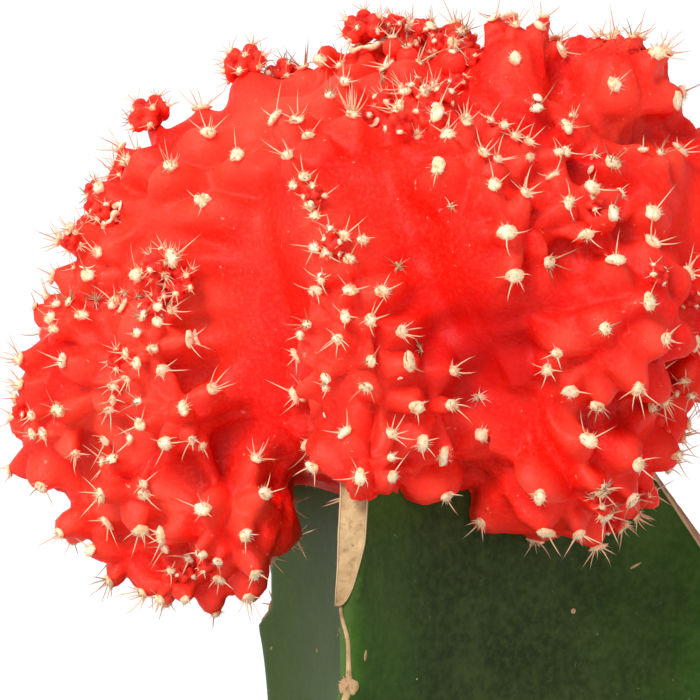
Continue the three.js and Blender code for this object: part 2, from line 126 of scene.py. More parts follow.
# Camera, as the picture was taken: from the front, a little above, with a long lens
view = {
    "aim": (-9.1, 0, 157.4),
    "distance": 350,
    "tilt": 3,
    "lens": 200,
    "width": 63,  # width of the picture at the aim
}
aim = np.array(view["aim"], float)
tilt = math.radians(view["tilt"])
viewUp = np.array([0, math.sin(tilt), math.cos(tilt)])
viewRight = np.array([1.0, 0, 0])
towardsViewer = np.array([0, -math.cos(tilt), math.sin(tilt)])
eye = aim + towardsViewer * view["distance"]


def addCamera():
    data = bpy.data.cameras.new("camera")
    data.lens = view["lens"]
    data.sensor_width = view["lens"] * view["width"] / view["distance"]
    data.clip_start = 0.01
    camera = bpy.data.objects.new("camera", data)
    camera.location = eye * mm
    camera.rotation_euler = Vector(-towardsViewer).to_track_quat("-Z", "Y").to_euler()
    bpy.context.scene.collection.objects.link(camera)
    bpy.context.scene.camera = camera


addCamera()
print("camera set")

# Nodes of the materials


def newMaterial(name):
    material = bpy.data.materials.new(name)
    material.use_nodes = True
    nodes = material.node_tree.nodes
    return material, material.node_tree, nodes["Principled BSDF"]


def put(tree, kind, inputs=None, **settings):
    node = tree.nodes.new(kind)
    for key, value in settings.items():
        setattr(node, key, value)
    for key, value in (inputs or {}).items():
        if isinstance(value, bpy.types.NodeSocket):
            tree.links.new(value, node.inputs[key])
        else:
            node.inputs[key].default_value = value
    return node


def objectPlace(tree):
    return put(tree, "ShaderNodeTexCoord").outputs["Object"]


def noise(tree, scale, detail=3, rough=0.5, place=None):
    inputs = {"Vector": place or objectPlace(tree), "Scale": scale, "Detail": detail, "Roughness": rough}
    return put(tree, "ShaderNodeTexNoise", inputs).outputs["Fac"]


def ramp(tree, value, stops):
    node = put(tree, "ShaderNodeValToRGB", {"Fac": value})
    while len(node.color_ramp.elements) < len(stops):
        node.color_ramp.elements.new(0.5)
    for element, (place, colour) in zip(node.color_ramp.elements, stops):
        element.position = place
        element.color = (*colour, 1)
    return node.outputs["Color"]


def grey(level):
    return (level, level, level)


def mix(tree, share, first, second, how="MIX"):
    node = put(tree, "ShaderNodeMix", data_type="RGBA", blend_type=how)
    for socket, value in ((node.inputs[0], share), (node.inputs[6], first), (node.inputs[7], second)):
        if isinstance(value, bpy.types.NodeSocket):
            tree.links.new(value, socket)
        else:
            socket.default_value = (*value, 1) if isinstance(value, tuple) else value
    return node.outputs[2]


def layer(tree, base, value, low, high, most, colour):
    # a colour over the base, from none of it at a low value to the most of it at a high one
    return mix(tree, ramp(tree, value, [(low, grey(0)), (high, grey(most))]), base, colour)


def number(tree, name):
    return put(tree, "ShaderNodeAttribute", attribute_name=name).outputs["Fac"]


def paint(tree, shader, base, rough, shine=0.5, glow=0, reach=None):
    # glow is the share of the light that passes through, and reach how far red, green and blue go in it, mm
    tree.links.new(base, shader.inputs["Base Color"])
    shader.inputs["Roughness"].default_value = rough
    shader.inputs["Specular IOR Level"].default_value = shine
    if glow:
        shader.inputs["Subsurface Weight"].default_value = glow
        shader.inputs["Subsurface Radius"].default_value = reach
        shader.inputs["Subsurface Scale"].default_value = mm


def bump(tree, shader, height, strength, distance, under=None):
    inputs = {"Height": height, "Strength": strength, "Distance": distance * mm}
    if under:
        inputs["Normal"] = under
    node = put(tree, "ShaderNodeBump", inputs)
    tree.links.new(node.outputs["Normal"], shader.inputs["Normal"])
    return node.outputs["Normal"]


# Red flesh: the head's waxy skin, with painted shade in its folds and painted highlights where it stands out
redFlesh = {
    # deep is the painted shade in folds and shaded spots; pale is the painted highlight on raised parts, and
    # also random paler patches
    "deep": (0.54, 0.0017, 0.001),
    "body": (0.88, 0.0065, 0.0018),
    "pale": (0.96, 0.052, 0.027),
    # bloom is a fine grain, and also the colour of the painted highlights
    "bloom": (0.98, 0.10, 0.050),
    # speck is the colour of small painted glints
    "speck": (0.98, 0.38, 0.26),
    "roughness": 0.46,
    "shine": 0.15,
    "glow": 0.2,
    "reach": (3.2, 0.5, 0.3),
}


def makeRedFlesh():
    material, tree, shader = newMaterial("red_flesh")
    deep, body, pale, bloom = (redFlesh[key] for key in ("deep", "body", "pale", "bloom"))
    # painted shade: deeper red in folds and where other skin lies close
    base = ramp(tree, number(tree, "creaseShade"), [(0.1, deep), (0.6, body), (1, body)])
    # painted highlight: paler on the raised tops of the tubercles
    base = layer(tree, base, number(tree, "raisedHighlight"), 0.1, 0.8, 0.7, pale)
    base = layer(tree, base, noise(tree, 130, 3), 0.5, 0.8, 0.25, pale)
    base = layer(tree, base, noise(tree, 2600, 3, 0.7), 0.45, 0.75, 0.3, bloom)
    # painted glints: small pale flecks over the skin
    base = layer(tree, base, noise(tree, 1500, 2), 0.71, 0.76, 0.5, redFlesh["speck"])
    # painted shade below the middle and painted highlights above it, over a random tone
    paintedLightAndTone = number(tree, "paintedLightAndTone")
    base = mix(tree, ramp(tree, paintedLightAndTone, [(0, grey(0.9)), (0.5, grey(0))]), base, deep)
    base = layer(tree, base, paintedLightAndTone, 0.5, 1, 0.9, bloom)
    paint(tree, shader, base, *(redFlesh[key] for key in ("roughness", "shine", "glow", "reach")))
    first = bump(tree, shader, noise(tree, 420, 4, 0.6), 0.35, 0.25)
    bump(tree, shader, noise(tree, 2000, 4, 0.7), 0.7, 0.12, first)
    return material


# Wool of the areoles, and the spines
def makeWool():
    material, tree, shader = newMaterial("areole_wool")
    stops = [(0.3, (0.60, 0.30, 0.13)), (0.44, (0.96, 0.66, 0.38)), (0.66, (1, 0.90, 0.70))]
    base = ramp(tree, noise(tree, 1700, 4, 0.6), stops)
    base = layer(tree, base, number(tree, "along"), 0.3, 0.95, 0.6, (0.90, 0.38, 0.18))
    paint(tree, shader, base, 0.9, glow=0.3, reach=(0.6, 0.4, 0.25))
    bump(tree, shader, noise(tree, 4200, 3), 0.8, 0.12)
    return material


def makeSpine(name, root, middle, tip):
    material, tree, shader = newMaterial(name)
    base = ramp(tree, number(tree, "along"), [(0, root), (0.55, middle), (1, tip)])
    base = layer(tree, base, noise(tree, 900, 2), 0.4, 0.7, 0.35, tip)
    paint(tree, shader, base, 0.45)
    return material


redSkin = makeRedFlesh()
wool = makeWool()
strawSpine = makeSpine("straw_spine", (1, 0.68, 0.42), (0.93, 0.55, 0.34), (0.36, 0.20, 0.12))
brownSpine = makeSpine("old_spine", (0.62, 0.36, 0.18), (0.42, 0.23, 0.12), (0.16, 0.09, 0.05))

# Head: a ribbed mother globe and the pups that grew on it, as one skin
mother = {
    "height": 165.5,  # its centre above the floor
    "aside": -2,
    "ribs": 8,
    "radius": 23.5,
    "top": 18,
    "bottom": 21.5,
    "fullTop": 2.2,
    "fullBottom": 2.7,
    "valley": 0.22,
    "firstRib": -25,
    "twist": 36,
    "graft": 17,  # from its centre down to where it meets the stock
    "graftRadius": 15,
}
skin = {
    "cell": 0.46,  # size of the grid that it is drawn on
    "reach": 3.5,  # how far from the skin the field is worked out
    "meetMother": 1.9,  # width of the fillet from a pup to the mother
    "meetPup": 1.4,  # and between two pups
    "groove": 0.13,  # depth of a pup's valleys, as a share of its size
    "seenGroove": 0.03,  # the same where the areoles were read from the picture
    "upGroove": 0.14,  # and on the ribbed pups whose crown points up
    "crown": 0.07,  # depth of the dimple at a pup's crown
    "carrier": 8,  # above this size a pup mostly lies under others and is smooth
    "cellDepth": 2.9,  # depth of the folds between two areoles
    "cellWidth": 2.3,
    "crease": 1.2,  # width of the band of painted shade in a fold
    "cusp": 0.55,  # how far the skin rises under an areole
    "cuspWidth": 1.1,
    "sink": 0.25,  # how far the skin lies in between
    "usualRise": 1.6,  # height of the skin under an areole
    "fade": 5.5,  # distance from the last areole at which the skin is smooth
    "far": 9,  # between areoles this far apart the folds are shallow
    "ridge": 0.7,  # a tubercle is longer along its rib, by one part in this
    "shade": 2.5,  # a skin closer to another than this gets painted shade
}
bud = {
    "woolRing": (-22.4, 5.5),  # a ring of wool without a bud, as (across, up)
    "bead": 1.25,  # up to this radius a pup is a bead of its own on the skin
    "low": 0.66,
    "rise": 0.40,
    "spare": 46,  # more buds on the sides and at the back
}
centre = np.array([0, 0, mother["height"]])

# Pups that show from the front, as (across, up, forward, radius) from the head's centre, the carriers first;
# a fifth number gives the ribs of one whose crown points up
frontPups = [
    (-22, 2.6, -1, 9.8), (-26, -9, 2, 9.5), (-23, -18, 4, 8.5), (16.2, 2.8, -2, 11.2),
    (17, -4.5, -1, 10.5), (10, -14, 4, 10), (9, 10.8, 0, 8.2), (-2, 15, 0, 5.3),
    # left shoulder
    (-25.4, 10.3, 0, 2.6), (-22.1, 7.6, 3, 3.6), (-24.4, 5.0, 6, 3.6), (-29.2, 5.4, 1, 3.2),
    (-31.4, 5.6, -0.5, 1.8), (-17.7, 15.1, -0.5, 2.2), (-16.8, 13.0, 1, 2.9), (-14.3, 11.0, 5, 3.8),
    (-11.9, 14.6, 1.5, 2.4), (-11.0, 17.9, 0.5, 1.4),
    # left edge and left front
    (-31.3, 0.4, 2, 3.7), (-32.9, -2.4, 4, 2.6), (-33.8, -6.5, 5, 4.2), (-34.2, -13.9, 3, 5.4),
    (-36.7, -9.8, 3, 2.2), (-37.6, -12.8, 2.5, 1.9), (-38.0, -15.4, 2, 1.7), (-35.6, -17.0, 2, 3.8),
    (-31.6, -22.6, 4, 3.8), (-29.2, -26.7, 6, 3.2),
    (-25.6, -1.2, 10.5, 2.2), (-26.2, -5.2, 11.5, 2.4), (-27.3, -8.3, 12, 3.4),
    (-30.5, -10.8, 8, 4.1), (-24.6, -14.4, 12, 4.3), (-28.2, -20.0, 10, 4.0), (-19.9, -23.4, 10, 5.9),
    (-25.5, -24.5, 7, 3.6),
    # left underside
    (-25.2, -29.1, 9, 2.5), (-22.5, -28.5, 7, 2.4), (-18.8, -28.8, 9, 2.2),
    # crown
    (-7.6, 18.1, 1, 2.0), (-8.0, 14.6, 2.5, 2.6), (-9.6, 13.0, 7, 3.2), (-5.2, 19.0, 3.5, 1.0),
    (-3.9, 18.1, 4.5, 1.05), (0.1, 17.5, 6, 1.2), (0.1, 19.4, 2.5, 1.4), (-1.9, 19.6, -0.5, 1.6),
    (-4.9, 20.9, -1, 1.3), (-2.9, 20.7, -2, 1.5), (-0.7, 20.7, -1.5, 1.4), (1.4, 20.0, -2, 1.6),
    (-4.2, 18.2, -2, 2.4), (-0.8, 18.0, -3, 2.6), (-4.0, 16.2, 5, 1.6), (-2.9, 14.4, 8, 1.9),
    (-1.3, 12.9, 9, 1.5), (-5.0, 12.2, 9, 1.8), (-7.2, 12.8, 8.5, 1.5),
    # middle rib
    (-13.2, 6.7, 17, 1.8), (-12.2, 4.1, 18, 1.0), (-11.1, 0.7, 19, 2.0), (-8.9, 2.0, 19, 1.4),
    (-12.5, -2.3, 20, 1.8), (-9.1, -2.5, 20, 2.0), (-6.0, -2.9, 19, 1.3), (-13.0, -6.3, 19, 1.7),
    (-9.6, -5.6, 21, 2.5), (-6.9, -5.9, 21, 2.0), (-4.2, -6.7, 19, 1.8), (-10.7, -10.1, 20, 2.9),
    (-7.1, -9.4, 21, 2.5), (-3.7, -9.5, 19, 2.2),
    # middle cluster
    (-8.9, -15.5, 17.5, 4.1), (-6.8, -12.6, 19, 3.4), (-2.6, -13.0, 18, 3.4), (-5.5, -18.0, 16, 4.7),
    (-7.4, -18.9, 21.6, 3.3), (-1.0, -16.7, 14, 4.2), (1.0, -12.2, 15, 2.3),
    # right shoulder and right rib
    (5.9, 17.2, 4, 4.5, 12), (14.9, 14.9, 3, 5.6, 13), (12.0, 19.2, 1, 1.9),
    (0.6, 10.8, 16, 2.2), (3.5, 11.5, 15, 2.5), (1.9, 7.4, 18, 3.2), (6.2, 9.7, 15, 2.2),
    (4.9, 2.5, 19.5, 4.4), (10.9, 3.4, 17, 4.1), (9.6, 8.8, 14, 2.6),
    # right front and underside
    (17.2, 6.3, 9, 4.1), (16.6, 1.8, 12, 3.6), (13.9, -5.8, 15, 7.2), (21.0, -9.7, 6, 3.5),
    (9.8, -17.4, 11, 7.7), (16.4, -16.0, 7, 4.2), (4.0, -21.6, 9, 2.9), (13.9, -22.0, 8, 2.0),
    (17.0, -21.6, 7, 1.6), (18.1, -15.4, 4, 2.4),
    # right edge past the picture
    (22.3, 8.7, 1, 3.2), (22.8, 3.1, 3, 4.7), (23.5, -4.1, 5, 4.5), (27.6, 7.6, -6, 4.0),
    (29.2, 2.2, -4, 5.0), (30.5, -5.4, -3, 4.9), (30.1, -12.8, -2, 5.0), (29.5, -16.5, -4, 4.8),
]
# Rosettes, buds made of many small tubercles, with the wool collar that some of them stand in
rosettes = [
    (-27.1, 12.9, -1, 1.95, 0), (-18.5, 17.4, -1, 2.0, 1), (-15.2, 16.7, -3, 1.4, 0),
    (-7.9, 20.6, 1.5, 1.85, 1), (-29.6, 8.2, 0.5, 0.9, 0), (-32.1, 6.3, -0.5, 0.9, 0),
    (-31.3, 4.4, 3.5, 1.1, 1), (-33.6, -1.2, 3, 1.1, 1), (-25.7, -0.4, 12.4, 1.5, 0),
    (-24.2, -2.0, 13.0, 1.4, 0), (13.7, -20.8, 10, 1.5, 0), (-5.4, 21.0, 0, 1.1, 0),
]
# Small buds that sit on the skin where it is seen from the front, as (across, up, radius)
seenBuds = [
    (-5.7, 20.9, 0.9), (-4.6, 21.2, 0.8), (-2.1, 20.7, 1.0), (-3.5, 19.4, 0.9), (-1.0, 19.4, 0.9),
    (1.3, 19.4, 1.1), (1.7, 17.8, 0.9), (-3.2, 14.7, 1.35), (-2.2, 12.7, 1.3), (-6.0, 14.0, 1.1),
    (-4.6, 12.3, 1.2), (-0.6, 14.6, 1.1), (0.5, 15.8, 0.9), (-7.6, 12.8, 0.9), (-26.4, -0.4, 1.2),
    (-25.6, -3.2, 1.2), (-27.0, -4.6, 1.1), (-32.0, 5.0, 0.9), (-30.9, 3.2, 1.0), (-34.1, 1.8, 0.9),
    (-33.4, 4.0, 0.8), (-12.3, 5.9, 1.0), (-10.8, 1.3, 1.1), (-30.0, -9.0, 0.9), (17.0, -21.4, 0.9),
    (13.4, -22.1, 1.1), (14.5, -23.6, 0.9), (20.2, -11.7, 0.9), (21.5, -3.6, 0.9), (18.5, -1.3, 0.9),
    (-21.7, -27.2, 1.0), (-23.8, -28.3, 0.9), (12.7, 5.0, 0.9), (-27.1, -30.4, 0.9), (-38.6, -13.7, 0.9),
]
# Rings of pups on the sides and at the back
backRings = [
    {"height": -1, "reach": 16.5, "size": 11.5, "count": 4, "from": 92},
    {"height": -10, "reach": 18, "size": 11, "count": 3, "from": 126},
    {"height": 7, "reach": 11, "size": 10, "count": 2},
    {"height": 11.5, "reach": 13, "size": 4.2, "count": 4},
    {"height": 6.5, "reach": 22, "size": 4.6, "count": 6, "from": 108},
    {"height": -0.5, "reach": 26.5, "size": 5.2, "count": 7},
    {"height": -9, "reach": 28, "size": 5.6, "count": 7},
    {"height": -18.5, "reach": 25, "size": 5.8, "count": 5, "from": 150},
]
back = {"from": 72, "to": 288, "bearing": 7, "height": 1.6, "reach": 1.8, "size": 0.22}


def makePup(place, size, seed, upRibs=0):
    axis = unit([0.1, -0.3, 1]) if upRibs else unit(place - np.array([mother["aside"] / 2, 0, -3]))
    side = unit(np.cross([0, 0, 1.0], axis))
    ribs = upRibs or (5 if size < 3 else 6 if size < 5 else 8)
    return {"place": place, "size": size, "axis": axis, "side": side, "rear": np.cross(axis, side),
            "ribs": ribs, "spin": chance(seed) * math.pi, "seed": seed, "isRibbed": upRibs > 0}


def seenPlace(across, up, forward):
    nearer = 1 - forward / view["distance"]
    side = aim[0] + (across - aim[0]) * nearer
    low = aim[2] - centre[2]
    rise = low + (up - low) * nearer
    return np.array([side, -forward, (rise + forward * math.sin(tilt)) / math.cos(tilt)])


def listPups():
    pups = [makePup(seenPlace(*p[:3]), p[3], i + 1, *p[4:]) for i, p in enumerate(frontPups)]
    for ring in backRings:
        start = ring.get("from", back["from"])
        step = (back["to"] - start) / ring["count"]
        for i in range(ring["count"]):
            seed = 200 + len(pups) * 7
            turn = math.radians(start + (i + 0.5) * step + back["bearing"] * spread(seed))
            height = ring["height"] + back["height"] * spread(seed + 1)
            reach = ring["reach"] + back["reach"] * spread(seed + 2)
            size = ring["size"] * (1 + back["size"] * spread(seed + 3))
            place = np.array([reach * math.sin(turn), -reach * math.cos(turn), height])
            pups.append(makePup(place, size, seed))
    return pups


def motherField(p):
    # distance from the mother's skin, in a frame at the head's centre
    x = p[..., 0] - mother["aside"]
    across = np.hypot(x, p[..., 1]) / mother["radius"]
    up = p[..., 2] / np.where(p[..., 2] < 0, mother["bottom"], mother["top"])
    bearing = np.degrees(np.arctan2(x, -p[..., 1]))
    share = 1.0
    for _ in range(2):
        polar = np.arctan2(across / share, up / (0.6 + 0.4 * share))
        lean = mother["firstRib"] + mother["twist"] * (polar / (math.pi / 2) - 1)
        phase = (bearing - lean) * mother["ribs"] / 360
        valley = 2 * np.abs(phase - np.round(phase))
        out = np.sin(polar)
        dip = 0.75 * np.sin(valley * math.pi / 2) ** 2 + 0.25 * valley ** 2
        share = 1 - mother["valley"] * out ** 0.7 * dip
    full = np.where(up < 0, mother["fullBottom"], mother["fullTop"])
    globe = (np.abs(np.cos(polar)) ** full + out ** full) ** (-1 / full)
    return (np.hypot(across / share, up / (0.6 + 0.4 * share)) / globe - 1) * mother["radius"] * 0.85


def pupField(pup, p):
    away = p - pup["place"]
    reach = np.linalg.norm(away, axis=-1)
    polar = np.arccos(np.clip(away @ pup["axis"] / np.maximum(reach, 1e-6), -1, 1))
    turn = np.arctan2(away @ pup["rear"], away @ pup["side"]) - pup["spin"]
    phase = turn * pup["ribs"] / (2 * math.pi)
    valley = 2 * np.abs(phase - np.round(phase))
    if pup["size"] > skin["carrier"]:
        return reach - pup["size"]
    groove = skin["seenGroove"] if pup["seed"] < 200 else skin["groove"]
    if pup["isRibbed"]:
        groove = skin["upGroove"] * np.clip(1.4 * np.cos(polar) + 0.1, 0, 1)  # they fade at the middle
    share = 1.03 - groove * valley ** 2 * np.sin(polar) ** 0.8
    share = share - skin["crown"] * np.exp(-(polar / 0.35) ** 2)
    return reach - pup["size"] * share


def blendMin(a, b, width):
    share = np.clip(0.5 + 0.5 * (b - a) / width, 0, 1)
    return b + (a - b) * share - width * share * (1 - share)


def headField(pups):
    low = np.array(headBox[0]) / mm - centre - 3
    high = np.array(headBox[1]) / mm - centre + 3
    steps = np.ceil((high - low) / skin["cell"]).astype(int)
    axes = [low[k] + np.arange(steps[k]) * skin["cell"] for k in range(3)]
    grown = np.full(steps, 2 * skin["reach"])
    for pup in pups:
        if pup["size"] <= bud["bead"]:
            continue
        room = pup["size"] * 1.05 + skin["reach"]
        first = np.maximum(np.floor((pup["place"] - room - low) / skin["cell"]).astype(int), 0)
        last = np.minimum(np.ceil((pup["place"] + room - low) / skin["cell"]).astype(int), steps)
        part = tuple(slice(a, b) for a, b in zip(first, last))
        points = np.stack(np.meshgrid(*[axis[s] for axis, s in zip(axes, part)], indexing="ij"), -1)
        grown[part] = blendMin(grown[part], pupField(pup, points), min(skin["meetPup"], 0.45 * pup["size"]))
    points = np.stack(np.meshgrid(*axes, indexing="ij"), -1)
    return blendMin(grown, motherField(points), skin["meetMother"]), low


gridCorners = [np.array([i, j, k]) for i in (0, 1) for j in (0, 1) for k in (0, 1)]
gridSteps = np.eye(3, dtype=int)


def surfaceNet(field, low, cell):
    # a mesh of squares where the field is zero, one point in each grid cell that the skin passes
    inside = field < 0
    cells = np.array(field.shape) - 1
    count = np.zeros(cells, np.int8)
    for c in gridCorners:
        count += inside[c[0]:c[0] + cells[0], c[1]:c[1] + cells[1], c[2]:c[2] + cells[2]]
    mixed = (count > 0) & (count < 8)
    place = np.argwhere(mixed)
    numbered = np.full(cells, -1)
    numbered[mixed] = np.arange(len(place))
    total = np.zeros((len(place), 3))
    hits = np.zeros(len(place))
    for a in gridCorners:
        for step in gridSteps[a == 0]:
            first = field[tuple((place + a).T)]
            second = field[tuple((place + a + step).T)]
            crossed = (first < 0) != (second < 0)
            share = first[crossed] / (first[crossed] - second[crossed])
            total[crossed] += a + share[:, None] * step
            hits[crossed] += 1
    points = low + (place + total / hits[:, None]) * cell
    faces = []
    for axis in range(3):
        u, w = gridSteps[(axis + 1) % 3], gridSteps[(axis + 2) % 3]
        here = inside.take(range(cells[axis]), axis)
        there = inside.take(range(1, cells[axis] + 1), axis)
        edges = np.argwhere(here != there)
        edges = edges[(edges[:, (axis + 1) % 3] > 0) & (edges[:, (axis + 2) % 3] > 0)]
        edges = edges[(edges < cells).all(1)]
        ring = [numbered[tuple((edges - s).T)] for s in (0 * u, u, u + w, w)]
        quads = np.stack(ring, 1)
        flip = here[tuple(edges.T)]
        quads[~flip] = quads[~flip][:, ::-1]
        faces.append(quads)
    return points, np.concatenate(faces)


def sample(grid, low, cell, points):
    # the grid's value between its points
    place = np.clip((points - low) / cell, 0, np.array(grid.shape) - 1.001)
    base = place.astype(int)
    share = place - base
    total = 0
    for corner in gridCorners:
        weights = np.where(corner, share, 1 - share)
        total = total + weights[:, 0] * weights[:, 1] * weights[:, 2] * grid[tuple((base + corner).T)]
    return total


def slopes(grid, low, cell, points):
    # how steeply the grid's value rises along each axis
    half = cell * 0.5
    rises = [sample(grid, low, cell, points + half * step) - sample(grid, low, cell, points - half * step)
             for step in gridSteps]
    return np.stack(rises, -1) / (2 * half)


def settle(grid, low, cell, points):
    # moves points onto the skin and gives its normals there
    for _ in range(3):
        slope = slopes(grid, low, cell, points)
        size = np.maximum((slope ** 2).sum(-1, keepdims=True), 0.2)
        points = points - np.clip(sample(grid, low, cell, points)[:, None] / size, -0.3, 0.3) * slope
    return points, unit(slopes(grid, low, cell, points))


pups = listPups()
field, fieldLow = headField(pups)
skinPoints, skinFaces = surfaceNet(field, fieldLow, skin["cell"])
skinPoints, skinNormals = settle(field, fieldLow, skin["cell"], skinPoints)
bareSkin = BVHTree.FromPolygons(skinPoints.tolist(), skinFaces.tolist())
print("bare skin", len(skinPoints), "points")

# Areoles that show from the front, as (across, up) from the head's centre
frontAreoles = [
    # left
    (-36.6, -3.1), (-34.6, -3.1), (-35.6, -3.9), (-36.4, -5.0), (-33.3, -4.6), (-35.9, -6.2),
    (-38.7, -9.0), (-35.1, -9.1), (-38.1, -11.6), (-39.2, -12.5), (-38.2, -14.0), (-35.5, -13.5),
    (-38.8, -16.0), (-37.5, -16.0), (-33.8, -17.8), (-36.9, -20.5), (-30.0, -8.5), (-28.6, -9.5),
    (-29.2, -10.7), (-30.5, -11.6), (-30.5, -13.0), (-30.8, -14.0), (-28.2, -12.7), (-28.0, -14.8),
    (-31.4, -16.4), (-29.0, -16.1), (-30.8, -17.6), (-25.8, -16.6), (-25.6, -10.2), (-21.1, -11.2),
    (-24.0, -13.3), (-23.1, -16.6), (-21.8, -17.5), (-26.8, -8.0), (-28.4, -6.4), (-23.1, -7.2),
    (-26.4, -5.5), (-27.8, -5.0), (-26.4, -4.1), (-24.6, -4.1), (-25.3, 0.3),
    # lower left
    (-27.7, -20.2), (-27.5, -21.3), (-31.7, -21.2), (-22.4, -22.4), (-16.8, -21.0), (-18.4, -24.8),
    (-25.5, -24.7), (-26.1, -26.2), (-22.5, -26.4), (-24.1, -27.3), (-25.4, -27.8), (-21.1, -27.5),
    (-21.0, -29.2), (-17.6, -28.3), (-13.9, -25.6), (-17.5, -18.0), (-18.2, -30.5), (-26.4, -30.7),
    (-23.6, -31.1), (-28.0, -24.2), (-35.3, -24.6), (-32.5, -26.2), (-31.1, -29.2),
    # upper left
    (-25.3, 8.5), (-22.5, 5.3), (-19.3, 9.5), (-21.9, 11.7), (-16.5, 13.1), (-14.0, 13.0),
    (-11.9, 18.0), (-10.9, 14.9), (-12.9, 11.5), (-14.8, 9.5), (-29.6, 9.2), (-32.0, 6.7),
    (-31.9, 0.7), (-34.5, 2.9), (-32.7, -1.3), (-30.7, -3.4),
    # centre
    (-13.2, 7.7), (-14.3, 6.8), (-12.3, 6.7), (-12.7, 5.2), (-12.2, 4.1), (-10.9, 2.9), (-9.6, 2.3),
    (-7.8, 1.9), (-12.5, 1.2), (-11.1, 1.4), (-11.2, 0.6), (-9.1, 0.1), (-11.7, -1.6), (-12.4, -2.9),
    (-9.0, -2.6), (-6.0, -2.7), (-9.5, -5.0), (-7.2, -5.4), (-13.0, -5.8), (-13.6, -6.8),
    (-10.3, -7.2), (-4.0, -6.4), (-7.3, -9.1), (-3.7, -9.3), (0.4, -9.9), (-11.4, -10.8),
    (-11.5, -11.8), (-7.7, -11.6), (-3.1, -13.3), (0.3, -13.0), (-9.7, -15.3), (-5.3, -15.7),
    (-2.5, -16.6), (-5.1, -17.6), (-0.3, -17.8), (-12.4, -18.7), (-8.4, -19.5), (-4.7, -19.7),
    (-0.4, -21.3), (-6.7, -23.1),
    # crown
    (-8.8, 13.2), (-6.7, 14.7), (-4.4, 15.5), (-4.8, 13.7), (-2.3, 15.5), (-1.4, 13.8), (0.1, 19.5),
    (-3.7, 21.2), (-1.9, 21.4), (0.8, 20.7), (-5.8, 17.5), (-9.6, 16.0),
    # upper right
    (3.8, 22.2), (5.8, 21.5), (8.0, 21.1), (5.8, 18.2), (7.7, 14.4), (12.2, 21.6), (14.4, 20.6),
    (16.4, 20.6), (18.6, 18.8), (20.6, 14.4), (14.8, 15.8), (10.4, 19.2), (10.8, 13.0), (1.5, 13.0),
    (3.6, 13.6), (4.8, 12.2), (-0.4, 11.8), (3.1, 9.9), (4.4, 9.2), (5.8, 11.2), (7.2, 11.0),
    (7.2, 9.2), (9.7, 9.8), (10.8, 10.3), (-1.3, 8.4), (3.9, 7.1), (7.0, 6.5), (9.0, 7.7),
    (13.0, 7.1), (10.6, 5.5), (5.0, 2.4), (12.4, 2.1), (9.7, -0.4), (14.8, -0.2), (14.8, 4.3),
    (18.3, 4.3), (18.3, 1.5), (14.8, 8.9), (17.3, 10.7), (19.1, 10.1), (5.8, -1.5),
    # lower right
    (13.9, -6.2), (17.9, -3.8), (19.3, -7.1), (9.5, -8.4), (8.6, -10.0), (10.8, -11.9),
    (13.2, -12.8), (16.8, -11.5), (18.4, -13.2), (12.4, -16.2), (8.0, -21.2), (13.8, -21.0),
    (17.3, -18.5), (20.4, -17.6), (8.5, -24.8), (7.5, -25.8), (2.5, -23.6), (11.6, -25.0),
    (14.3, -23.4), (16.8, -22.0), (3.1, -15.8), (21.9, -12.9), (21.1, -11.3),
]
areole = {
    "radius": 0.62,
    "height": 0.30,
    "hairs": 32,
    "budHairs": 6,
    "hairLength": 0.5,
    "apart": 2.5,  # least distance between two on the sides and at the back
    "along": 3.6,  # distance from one to the next on a pup's rib
    "hairRadius": 0.036,
    "hairTip": 0.01,
    "leastPup": 2.3,  # radius of the smallest pup that has any there
    "lowest": 2.1,  # angle from a pup's crown to its last one
    "offSkin": 0.6,  # a place further than this from the skin has none
    "fullSize": 0.7,  # above this share of the radius one has all its hairs and spines
}
localEye = eye - centre
localAim = aim - centre


def fromEye(across, up):
    # the direction in which the viewer sees a place at (across, up) from the head's centre
    place = localAim + viewRight * (across - localAim[0]) + viewUp * (up - localAim[2])
    return unit(place - localEye)


def seenOn(surface, across, up, away=None):
    # the surface's point there; past the outline, the one nearest to a place so far away from the camera
    direction = fromEye(across, up)
    place, normal, _, _ = surface.ray_cast(Vector(localEye), Vector(direction))
    if place is None and away:
        place, normal, _, _ = surface.find_nearest(Vector(localEye + direction * away))
    return (None, None) if place is None else (np.array(place), np.array(normal))


def onSkin(across, up):
    return seenOn(bareSkin, across, up, view["distance"] - 5)


def isSeen(place, normal):
    away = place - localEye
    if normal @ unit(away) > 0.05:
        return False
    hit, _, _, far = bareSkin.ray_cast(Vector(localEye), Vector(unit(away)))
    return hit is not None and far > np.linalg.norm(away) - 1


def smoothNormal(place):
    _, normals = settle(field, fieldLow, skin["cell"], np.array([place]))
    return normals[0]


def inPicture(points):
    # the (across, up) places at which the viewer sees points
    away = points - localEye
    shown = localEye + away * (view["distance"] / -(away @ towardsViewer))[:, None] - localAim
    return np.stack([shown @ viewRight + localAim[0], shown @ viewUp + localAim[2]], -1)


def underAreole(across, up, rise):
    # the skin's point that is seen at (across, up) once the skin has risen there
    aimAt = wanted = np.array([across, up])
    for _ in range(4):
        place, normal = onSkin(*aimAt)
        aimAt = aimAt + 0.8 * (wanted - inPicture((place + normal * rise)[None])[0])
        aimAt = wanted + np.clip(aimAt - wanted, -2.2, 2.2)
    return place


def placesOnRibs(pup):
    # places for areoles along a pup's ribs, with their seeds
    for row in range(max(2, round(pup["size"] * 2.2 / areole["along"]))):
        for rib in range(pup["ribs"]):
            seed = pup["seed"] * 41 + row * 13 + rib
            polar = (row + 0.35 + 0.5 * (rib % 2) + 0.15 * spread(seed)) * areole["along"] / pup["size"]
            turn = rib * 2 * math.pi / pup["ribs"] + pup["spin"] + 0.12 * spread(seed + 1)
            if polar <= areole["lowest"]:
                out = around(polar, pup["axis"], around(turn, pup["side"], pup["rear"]))
                yield pup["place"] + out * pup["size"], seed


def newAreole(place, seed):
    return {"place": place, "normal": smoothNormal(place), "seed": seed, "size": 1}


